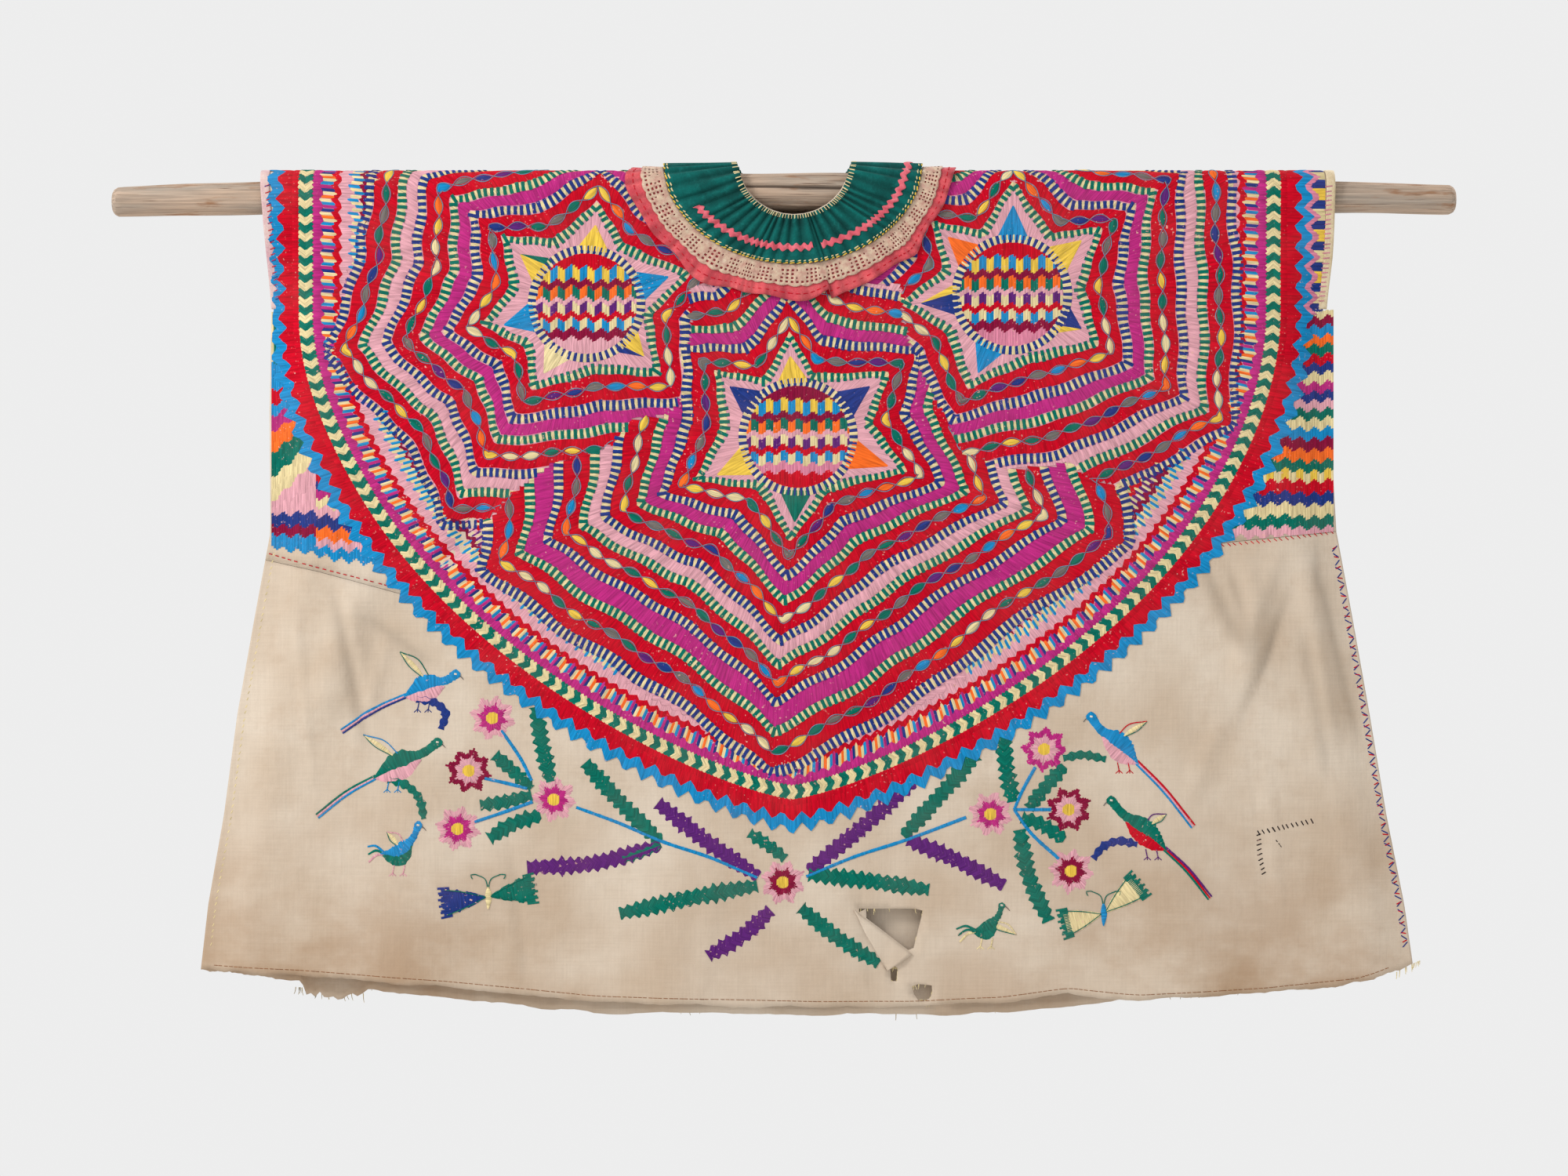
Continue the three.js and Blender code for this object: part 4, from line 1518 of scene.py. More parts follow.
@dataclass
class StarBands:
    """Everything that is stitched round and inside one star, on one layer of thread."""

    work: Needlework
    star: Star
    lift: float
    sampling: float = 4.2
    bar_pitch: float = 2.85
    lens_length: float = 15.5
    lens_pitch: float = 18.5
    lens_width: float = 6.2
    ray_base: float = 15.0
    valley_growth: float = 0.95

    def __post_init__(self) -> None:
        """Works out the directions of the outline's corners, and how fast each grows outward."""
        corners = np.array([p for ray in self.star.rays for p in (ray.tip, ray.valley)], float)
        self.radii = np.hypot(*corners.T)
        self.directions = corners / self.radii[:, None]
        self.growing = np.tile([1.0, self.valley_growth], len(self.star.rays))

    def contour(self, growth: Array, share: Array) -> tuple[Array, Array]:
        """Flat places on the star's outline grown outward.

        Args:
            growth: Distance out from the outline, for each place.
            share: Place round the outline, from 0 to 1 from the first tip.

        Returns:
            Places across and down.
        """
        count = len(self.radii)
        at = (share % 1) * count
        number = np.floor(at).astype(int) % count
        bend = smoothstep(at - np.floor(at), -0.02, 1.02)
        local = mix(at - np.floor(at), bend, 0.25)
        ends = []
        for index in (number, (number + 1) % count):
            reach = self.radii[index] + growth * self.growing[index]
            ends.append(self.directions[index] * reach[..., None])
        place = mix(ends[0], ends[1], local[..., None])
        unsteady = 1.3 * np.sin(7 * 2 * np.pi * share + self.star.x) + 0.8 * np.sin(
            23 * 2 * np.pi * share + growth / 30)
        place = place * (1 + unsteady / 100)[..., None]
        return self.star.x + place[..., 0], self.star.v + place[..., 1]

    def shares(self, growth: float) -> tuple[Array, Array]:
        """Evenly spaced shares round a contour, with their distances.

        Args:
            growth: How far outside the star's outline, in millimetres.

        Returns:
            The shares, and how far round the contour each lies.
        """
        dense = np.linspace(0, 1, 2400)
        length = arc_length(*self.contour(np.full(dense.shape, growth), dense))
        count = int(length[-1] / self.sampling)
        distance = np.linspace(0, length[-1], count + 1)
        return np.interp(distance, length, dense), distance

    def owned(self, x: Array, v: Array) -> Array:
        """Which places belong to this star: the centre star lies over its neighbours.

        Args:
            x: Places across.
            v: Places down the cloth.

        Returns:
            True for each place of this star.
        """
        inside = (SHIELD.inset_of(x, v) > 37.5) & (v > 0)
        centre = inside_polygon(x, v, CENTRE_GROUND) | inside_polygon(x, v, CENTRE_STAR.grown(CORE_GROWTH))
        if self.star is CENTRE_STAR:
            return inside & centre
        left = x < SIDE_STARS_MEET
        return inside & ~centre & (left if self.star is LEFT_STAR else ~left)

    def satin(self, start: float, end: float, thread: Thread) -> None:
        """Adds a satin band between two growths.

        Args:
            start: Growth at the inner edge.
            end: Growth at the outer edge.
            thread: Thread to stitch with.
        """
        share, distance = self.shares((start + end) / 2)
        steps = max(2, round((end - start) / self.sampling))
        across = np.linspace(0, 1, steps + 1)
        growth = mix(start, end, across)[None, :] + 0 * share[:, None]
        x, v = self.contour(growth, share[:, None] + 0 * growth)
        centre_x = (x[:-1, :-1] + x[1:, 1:]) / 2
        centre_v = (v[:-1, :-1] + v[1:, 1:]) / 2
        puff = HEIGHTS.puff * np.sin(np.pi * across) ** 0.5 - HEIGHTS.tuck * ((across == 0) | (across == 1))
        self.work.grid(x, v, self.lift + puff + 0 * x, thread, distance[:, None] + 0 * x, growth,
                       self.owned(centre_x, centre_v))

    def outward(self, share: Array, growth: Array) -> tuple[Array, Array, Array]:
        """Unit direction square to a contour, and how much one mm of growth moves it out.

        Args:
            share: Shares round the contour.
            growth: How far outside the star's outline, in millimetres.

        Returns:
            The direction across and down the cloth, and the move for one mm of growth.
        """
        step = 0.006
        values = np.array(growth)
        ahead = np.stack(self.contour(values, share + step))
        behind = np.stack(self.contour(values, share - step))
        tangent = ahead - behind
        tangent /= np.maximum(np.hypot(*tangent), 1e-9)
        normal = np.stack([tangent[1], -tangent[0]])
        here = np.stack(self.contour(values, share))
        radial = here - np.array([self.star.x, self.star.v]).reshape(2, *([1] * share.ndim))
        radial /= np.hypot(*radial)
        gain = (normal * radial).sum(axis=0)
        normal = normal * np.sign(gain)
        return normal[0], normal[1], np.clip(np.abs(gain), 0.55, 1)

    def bars(self, start: float, end: float, thread: Thread) -> None:
        """Adds a row of upright bars of one thread over a band of the other, square to the contour.

        Args:
            start: Growth at the inner edge.
            end: Growth at the outer edge.
            thread: Thread to stitch with.
        """
        dense, distance = self.shares((start + end) / 2)
        count = int(distance[-1] / self.bar_pitch / 2)
        middles = (np.arange(count) + 0.5) * distance[-1] / count
        middles = middles + self.work.random.uniform(-0.35, 0.35, count)
        share = np.interp(middles, distance, dense)
        x0, v0 = self.contour(np.full(count, (start + end) / 2), share)
        nx, nv, gain = self.outward(share, np.full(count, (start + end) / 2))
        half = (end - start) / 2 * gain * self.work.random.uniform(0.98, 1.16, count)
        at = self.owned(x0, v0)
        low = (x0 - nx * half, v0 - nv * half)
        high = (x0 + nx * half, v0 + nv * half)
        self.work.stitches([a[at] for a in low], [a[at] for a in high], self.bar_pitch * 1.12,
                           self.lift + HEIGHTS.puff + 0.08, thread, HEIGHTS.stitch)

    def chain(self, start: float, end: float) -> None:
        """Adds the chain of leaf-shaped links and the two thin threads that twist round them.

        Args:
            start: Growth at the inner edge.
            end: Growth at the outer edge.
        """
        middle = mix(start, end, 0.48)
        dense, distance = self.shares(middle)
        count = int(distance[-1] / self.lens_pitch)
        pitch = distance[-1] / count
        stations = np.linspace(-1, 1, 9)
        swell = np.cos(stations * np.pi / 2) ** 0.8
        for number in range(count):
            at = (number + 0.5) * pitch
            length = self.lens_length * self.work.random.uniform(0.9, 1.1)
            share = np.interp((at + stations * length / 2) % distance[-1], distance, dense)
            x0, v0 = self.contour(np.full(9, middle), share)
            if not self.owned(x0[4], v0[4]):
                continue
            nx, nv, _ = self.outward(share, np.full(9, middle))
            width = self.lens_width * self.work.random.uniform(0.85, 1.2)
            sideways = np.array([-0.5, -0.25, 0.25, 0.5])
            off = swell[:, None] * width * sideways[None, :]
            x = x0[:, None] + nx[:, None] * off
            v = v0[:, None] + nv[:, None] * off
            raised = np.array([-0.05, 0.62, 0.62, -0.05])[None, :] * np.maximum(swell, 0.3)[:, None]
            thread = CHAIN_THREADS[(number * 5 + int(start)) % len(CHAIN_THREADS)]
            self.work.grid(x, v, self.lift + HEIGHTS.puff + raised, thread, off,
                           stations[:, None] * 8 + 0 * x)
        share, place = self.shares(middle)
        fine = np.linspace(0, distance[-1], len(share) * 2)
        share = np.interp(fine, place, share)
        x0, v0 = self.contour(np.full(len(fine), middle), share)
        nx, nv, _ = self.outward(share, np.full(len(fine), middle))
        for sign in (-1, 1):
            swing = sign * 0.62 * self.lens_width * np.sin(np.pi * fine / pitch)
            off = swing[:, None] + np.array([-0.36, 0.0, 0.36])[None, :]
            x = x0[:, None] + nx[:, None] * off
            v = v0[:, None] + nv[:, None] * off
            lift = self.lift + HEIGHTS.puff + np.array([0.1, 0.6, 0.1])[None, :] + 0 * x
            kept = self.owned(x[:-1, :-1], v[:-1, :-1])
            self.work.grid(x, v, lift, STEEL, off, fine[:, None] + 0 * x, kept)

    def field(self) -> None:
        """Adds the pink field inside the outline, the rays and the ring."""
        share, distance = self.shares(-5.0)
        steps = np.linspace(0.2, 1, 9)
        x1, v1 = self.contour(np.full(share.shape, -7.0), share)
        x = self.star.x + (x1[:, None] - self.star.x) * steps
        v = self.star.v + (v1[:, None] - self.star.v) * steps
        self.work.grid(x, v, self.lift + 0.08 + 0 * x, PINK, distance[:, None] + 0 * x, steps * 60 + 0 * x)
        for ray in self.star.rays:
            self.ray(ray)
        self.ring()
        self.stripes()

    def ray(self, ray: Ray) -> None:
        """Adds one pointed ray, from the ring to its tip, with its darker edge.

        Args:
            ray: The ray.
        """
        tip = np.array(ray.ray, float)
        length = np.hypot(*tip)
        outward = tip / length
        square = np.array([-outward[1], outward[0]])
        base = self.star.ring * 0.9
        stations = np.linspace(0, 1, 9)
        half = mix(self.ray_base, 0.6, stations)
        for low, high, thread in ((-1.0, 0.45, ray.thread), (0.45, 1.0, ray.shade)):
            sides = np.linspace(low, high, 6)
            out = mix(base, length, stations)[:, None] + 0 * sides[None, :]
            off = half[:, None] * sides[None, :]
            x = self.star.x + outward[0] * out + square[0] * off
            v = self.star.v + outward[1] * out + square[1] * off
            edge = (np.abs(sides) == 1)[None, :] | (stations == 1)[:, None]
            lift = self.lift + 0.2 + np.where(edge, -0.1, 0.25) + 0 * x
            self.work.grid(x, v, lift, thread, off, out)

    def ring(self) -> None:
        """Adds the ring of navy and cream bars."""
        count = int(2 * np.pi * (self.star.ring - 4) / self.bar_pitch / 2) * 2
        angle = 2 * np.pi * np.arange(count) / count
        for number, thread in enumerate((NAVY, CREAM)):
            turn = angle[number::2]
            ends = [(self.star.x + r * np.cos(turn), self.star.v + r * np.sin(turn))
                    for r in (self.star.ring - 8.0, self.star.ring)]
            self.work.stitches(ends[0], ends[1], self.bar_pitch * 1.05, self.lift + 0.35, thread)

    def stripes(self) -> None:
        """Adds the zigzag stripes inside the ring, in upright columns of satin stitch."""
        top, bottom = self.star.caps
        rows = (
            (0.14, (top,)), (0.27, (YELLOW, BLUE)), (0.34, (BURGUNDY,)),
            (0.45, (GREEN, ORANGE)), (0.50, (PINK,)), (0.60, (CREAM, PURPLE)),
            (0.66, (CRIMSON,)), (0.76, (BLUE, CREAM)), (0.85, (self.star.second,)),
            (1.1, (bottom,)),
        )
        radius = self.star.ring - 7.6
        places = np.arange(-radius + 0.4, radius - 0.4, STRIPES.column)
        chord = np.sqrt(radius ** 2 - places ** 2)
        start = -1.2 * np.ones(len(places)) * radius
        for share, threads in rows:
            end = (share * 2 - 1) * radius + STRIPES.sway(places, 2.6)
            STRIPES.fill(self.work, self.star.x + places, self.star.v + np.clip(start, -chord, chord),
                         self.star.v + np.clip(end, -chord, chord), threads, self.lift + 0.4)
            start = end


@dataclass(frozen=True)
class Stripes:
    """Zigzag stripes in upright columns of satin stitch, as inside the rings and beside the shield."""

    column: float = 2.2
    pitch: float = 13.2

    def sway(self, places: Array, swing: float) -> Array:
        """How far down a stripe's edge swings at places across."""
        return swing * zigzag(places, self.pitch) + 0.8 * np.sin(places / 7.3)

    def fill(self, work: Needlework, places: Array, start: Array, end: Array, threads: tuple[Thread, ...],
             lift: float) -> None:
        """Adds one stripe between two edges.

        Args:
            work: Layer to stitch on.
            places: Middles of the columns across.
            start: Upper edge at each column.
            end: Lower edge at each column.
            threads: Threads that take turns along the stripe, two for each zigzag.
            lift: Height of the layer below.
        """
        start = start + work.random.uniform(-0.5, 0.5, len(places))
        long_enough = end - start > 0.7
        turn = np.floor(places / (self.pitch / 2) + 0.5).astype(int) % len(threads)
        for number, thread in enumerate(threads):
            at = long_enough & (turn == number)
            work.stitches((places[at], start[at] - 0.4), (places[at], end[at] + 0.4), self.column * 1.08,
                          lift,
                          thread, 0.3)


STRIPES = Stripes()


@dataclass(frozen=True)
class PanelRow:
    """A stripe of a side panel: its lower edge at the side of the blouse and how it slopes inward."""

    below: float
    slope: float
    threads: tuple[Thread, ...]


LEFT_OUTER_ROWS = table(
    PanelRow,
    (180, 0, (CREAM, GREEN)), (204, 0, (BLUE,)), (218, -0.2, (CRIMSON,)), (229, -0.5, (BLUE,)),
    (243, -0.6, (MAGENTA,)), (262, -0.75, (ORANGE,)), (284, -0.8, (GREEN,)), (306, -0.9, (CREAM,)),
    (316, 0.0, (PINK,)), (326, 0.07, (NAVY,)), (334, 0.1, (BURGUNDY,)), (345, 0.19, (BLUE,)),
)
LEFT_INNER_ROWS = table(
    PanelRow,
    (262, 0, (NAVY,)), (270, 0.02, (CREAM,)), (278, 0.02, (GREEN,)), (286, 0.03, (CRIMSON,)),
    (293, 0.03, (NAVY,)), (301, 0.03, (MAGENTA,)), (309, 0.03, (CREAM,)), (317, 0.03, (PINK,)),
    (326, 0.07, (NAVY,)), (334, 0.11, (ORANGE,)), (340, 0.13, (PINK,)), (345, 0.19, (BLUE,)),
)
RIGHT_ROWS = table(
    PanelRow,
    (140, 0, (CREAM,)), (148, 0, (BURGUNDY,)), (157, 0, (BLUE,)), (165, 0, (ORANGE,)), (174, 0, (GREEN,)),
    (182, 0, (CRIMSON,)), (190, 0, (NAVY,)), (199, 0, (CREAM,)), (207, 0, (MAGENTA,)), (215, 0, (NAVY,)),
    (223, 0, (PINK,)), (231, 0, (GREEN,)), (240, 0, (CREAM,)), (249, 0, (BLUE,)), (259, 0, (BURGUNDY,)),
    (269, 0, (ORANGE,)), (278, 0, (GREEN,)), (287, 0, (YELLOW, CREAM)), (298, 0, (CRIMSON,)),
    (308, 0, (NAVY,)), (319, 0, (CREAM,)), (329, 0, (GREEN,)), (337, 0, (PINK,)),
)


@dataclass
class SidePanels:
    """The stacked zigzags between the shield and the sides of the blouse, above the skirts."""

    side: Side
    left_panel: Place = (-470.0, -418.0)
    inner_panel: Place = (-418.0, -330.0)
    right_panel: Place = (380.0, 500.0)
    left_span: Place = (136.0, 8.0)
    right_span: Place = (134.0, 1.0)
    slope_from: float = 460.0
    swing: float = 2.7
    edge_at: float = 300.0
    edge_gap: float = 1.0
    under_border: float = 3.0
    tucked: float = 2.0
    longest: float = 14.0

    def __post_init__(self) -> None:
        """Starts its layer of thread."""
        self.work = Needlework(self.side, 71)

    def panel(self, across: Place, rows: tuple[PanelRow, ...], span: Place) -> None:
        """Stitches one panel's rows in columns between the shield and the skirt seam.

        Args:
            across: Where the panel starts and ends across.
            rows: Rows of zigzag from the top down.
            span: How far down the cloth it starts, and how far above the seam it ends.
        """
        places = np.arange(*across, STRIPES.column)
        place_z = DRAPE.height_of(np.full(places.shape, self.edge_at))
        left = DRAPE.edge("left", place_z) + self.edge_gap
        right = DRAPE.edge("right", place_z) - self.edge_gap
        seam = DRAPE.down_to(DRAPE.level(SKIRT_SEAM, self.side, places)) - span[1]
        off = np.abs(places - SHIELD.x) >= SHIELD.half_width - self.under_border
        top = np.where(off, 0.0, SHIELD.edge_below(places, self.under_border) - self.tucked)
        start = np.maximum(top, span[0])
        inward = self.slope_from - np.abs(places)
        for row in rows:
            below = row.below + row.slope * inward + STRIPES.sway(places, self.swing)
            end = np.clip(below, start, seam)
            bound = (places > left) & (places < right)
            low = np.where(bound, end, start)
            for cut_start, cut_end in self.lengths(start, low):
                STRIPES.fill(self.work, places, cut_start, cut_end, row.threads, HEIGHTS.ground + 0.1)
            start = end

    def lengths(self, start: Array, end: Array) -> list[tuple[Array, Array]]:
        """Splits long stitches in two, so that none floats over a bend."""
        middle = (start + end) / 2
        return [(start, end)] if np.max(end - start) < self.longest else [(start, middle), (middle, end)]

    def build(self, finish: Material) -> Piece:
        """Stitches both panels and drapes them.

        Args:
            finish: Material of the piece.

        Returns:
            The new object.
        """
        self.panel(self.left_panel, LEFT_OUTER_ROWS, self.left_span)
        self.panel(self.inner_panel, LEFT_INNER_ROWS, self.left_span)
        self.panel(self.right_panel, RIGHT_ROWS, self.right_span)
        return self.work.piece(f"side_panels_{self.side.title}", finish)


@dataclass
class EmbroideredGround:
    """The pink ground and the three stars with their bands, on one side."""

    side: Side
    narrow_insets: Place = (20, 120)
    wide_insets: Place = (130, 452)

    def ground(self, finish: Material) -> Piece:
        """Makes the pink satin ground that shows between the bands.

        Args:
            finish: Material of the piece.

        Returns:
            The new object.
        """
        work = Needlework(self.side, 31)
        turns = SHIELD.even_turns()[::2]
        insets = np.concatenate([np.linspace(*self.narrow_insets, 12), np.linspace(*self.wide_insets, 26)])
        x, v = SHIELD.line(insets[None, :] + 0 * turns[:, None], turns[:, None] + 0 * insets[None, :])
        work.grid(x, v, HEIGHTS.ground + 0 * x, PINK, v, x)
        return work.piece(f"embroidered_ground_{self.side.title}", finish)

    def stars(self, finish: Material) -> list[Piece]:
        """Makes the three stars with their bands, the centre one over its neighbours.

        Args:
            finish: Material of the piece.

        Returns:
            One object for each star.
        """
        pieces = []
        for number, (star, lift) in enumerate((
            (LEFT_STAR, HEIGHTS.side_stars), (RIGHT_STAR, HEIGHTS.side_stars),
            (CENTRE_STAR, HEIGHTS.centre_star),
        )):
            work = Needlework(self.side, 40 + number)
            bands = StarBands(work, star, lift)
            for band in BANDS:
                if band.start >= star.reach:
                    continue
                bands.satin(band.start, band.end, CREAM if band.kind is BARS else band.thread)
                if band.kind is BARS:
                    bands.bars(band.start, band.end, band.thread)
                elif band.kind is CHAIN:
                    bands.chain(band.start, band.end)
            bands.field()
            pieces.append(work.piece(f"{star.name}_{self.side.title}", finish))
        return pieces


@dataclass(frozen=True)
class Flower:
    """An eight-pointed flower on the skirt, by its middle and its two rings of thread."""

    x: float
    z: float
    outer: Thread
    inner: Thread


@dataclass(frozen=True)
class Sprig:
    """A toothed leaf or a smooth stem, through places from its root."""

    thread: Thread
    width: float
    points: tuple[Place, ...]


@dataclass(frozen=True)
class Bird:
    """A bird by the places of its head, body, tail end and wing tip."""

    head: Place
    body: Place
    tail: Place
    wing: Place
    back: Thread
    belly: Thread
    edge: Thread
    depth: float
    fan: float


@dataclass(frozen=True)
class Butterfly:
    """A butterfly by its middle, the ends of its wings, and its threads."""

    middle: Place
    wings: tuple[Place, Place]
    threads: tuple[Thread, Thread]
    tips: tuple[Thread, Thread]
    body: Thread


FLOWERS = table(
    Flower,
    (-261, -472, PINK, MAGENTA), (-282, -519, BURGUNDY, PINK), (-206, -545, PINK, MAGENTA),
    (-292, -571, PINK, MAGENTA), (-1, -619, PINK, BURGUNDY), (233, -500, MAGENTA, PINK),
    (185, -558, PINK, MAGENTA), (255, -554, BURGUNDY, PINK), (257, -609, PINK, BURGUNDY),
)
STEM_WIDTH = 3.2
SPRIGS = table(
    Sprig,
    (BLUE, STEM_WIDTH, ((-253, -483), (-236, -508), (-226, -528))),
    (BLUE, STEM_WIDTH, ((-268, -526), (-250, -530), (-230, -535))),
    (BLUE, STEM_WIDTH, ((-277, -565), (-250, -556), (-225, -547))),
    (BLUE, STEM_WIDTH, ((-186, -552), (-148, -566), (-108, -583), (-66, -597), (-24, -615))),
    (BLUE, STEM_WIDTH, ((20, -614), (64, -596), (110, -581), (163, -561))),
    (BLUE, STEM_WIDTH, ((206, -554), (214, -536), (225, -516))),
    (BLUE, STEM_WIDTH, ((206, -554), (222, -554), (239, -554))),
    (BLUE, STEM_WIDTH, ((206, -554), (222, -576), (246, -598))),
    (GREEN, 17, ((-222, -462), (-217, -494), (-209, -529))),
    (GREEN, 15, ((-259, -505), (-241, -521), (-226, -535))),
    (GREEN, 14, ((-272, -550), (-250, -547), (-226, -541))),
    (GREEN, 16, ((-264, -580), (-243, -567), (-218, -559))),
    (GREEN, 17, ((-178, -512), (-148, -546), (-111, -583))),
    (GREEN, 13, ((-31, -575), (-14, -586), (1, -598))), (GREEN, 17, ((22, -612), (76, -618), (130, -626))),
    (GREEN, 17, ((-24, -622), (-84, -633), (-147, -647))), (GREEN, 16, ((15, -642), (48, -669), (85, -692))),
    (GREEN, 17, ((196, -486), (199, -516), (205, -547))),
    (GREEN, 17, ((172, -505), (141, -540), (107, -578))),
    (GREEN, 15, ((219, -553), (234, -534), (251, -515))),
    (GREEN, 15, ((213, -561), (232, -568), (251, -581))),
    (GREEN, 17, ((211, -572), (219, -613), (237, -654))),
    (GREEN, 10, ((-144, -599), (-127, -593), (-110, -586))),
    (PURPLE, 17, ((-230, -606), (-170, -602), (-111, -586))),
    (PURPLE, 17, ((-113, -548), (-70, -582), (-23, -614))),
    (PURPLE, 17, ((119, -525), (72, -568), (22, -609))),
    (PURPLE, 17, ((-12, -644), (-36, -666), (-68, -685))),
    (PURPLE, 17, ((111, -581), (154, -599), (197, -622))),
    (NAVY, 9, ((-329, -455), (-313, -458), (-303, -468), (-307, -482))),
    (GREEN, 9, ((-354, -527), (-338, -532), (-326, -544), (-322, -562))),
    (GREEN, 9, ((250, -508), (268, -505), (288, -509))),
    (NAVY, 9, ((277, -598), (286, -587), (300, -582), (316, -585))),
)
BIRDS = table(
    Bird,
    ((-294, -433), (-322, -443), (-396, -484), (-344, -413), BLUE, PINK, NAVY, 21, 1.9),
    ((-310, -494), (-349, -514), (-418, -560), (-377, -487), GREEN, PINK, BLUE, 22, 2.0),
    ((-327, -568), (-344, -592), (-372, -594), (-355, -574), BLUE, GREEN, PINK, 17, 7.0),
    ((275, -471), (303, -497), (366, -569), (325, -475), BLUE, PINK, CRIMSON, 22, 1.9),
    ((293, -546), (328, -575), (381, -633), (342, -558), GREEN, CRIMSON, PURPLE, 21, 2.0),
    ((195, -640), (182, -660), (156, -667), (208, -666), GREEN, GREEN, CREAM, 14, 6.0),
)
BUTTERFLIES = table(
    Butterfly,
    ((-265, -632), ((-303, -637), (-227, -625)), (NAVY, GREEN), (NAVY, GREEN), CREAM),
    ((286, -647), ((252, -656), (316, -622)), (CREAM, CREAM), (GREEN, GREEN), BLUE),
)


def flat(place: Place) -> Array:
    """Flat cloth place of an x and a height."""
    return np.array([place[0], float(DRAPE.down_to(place[1]))])


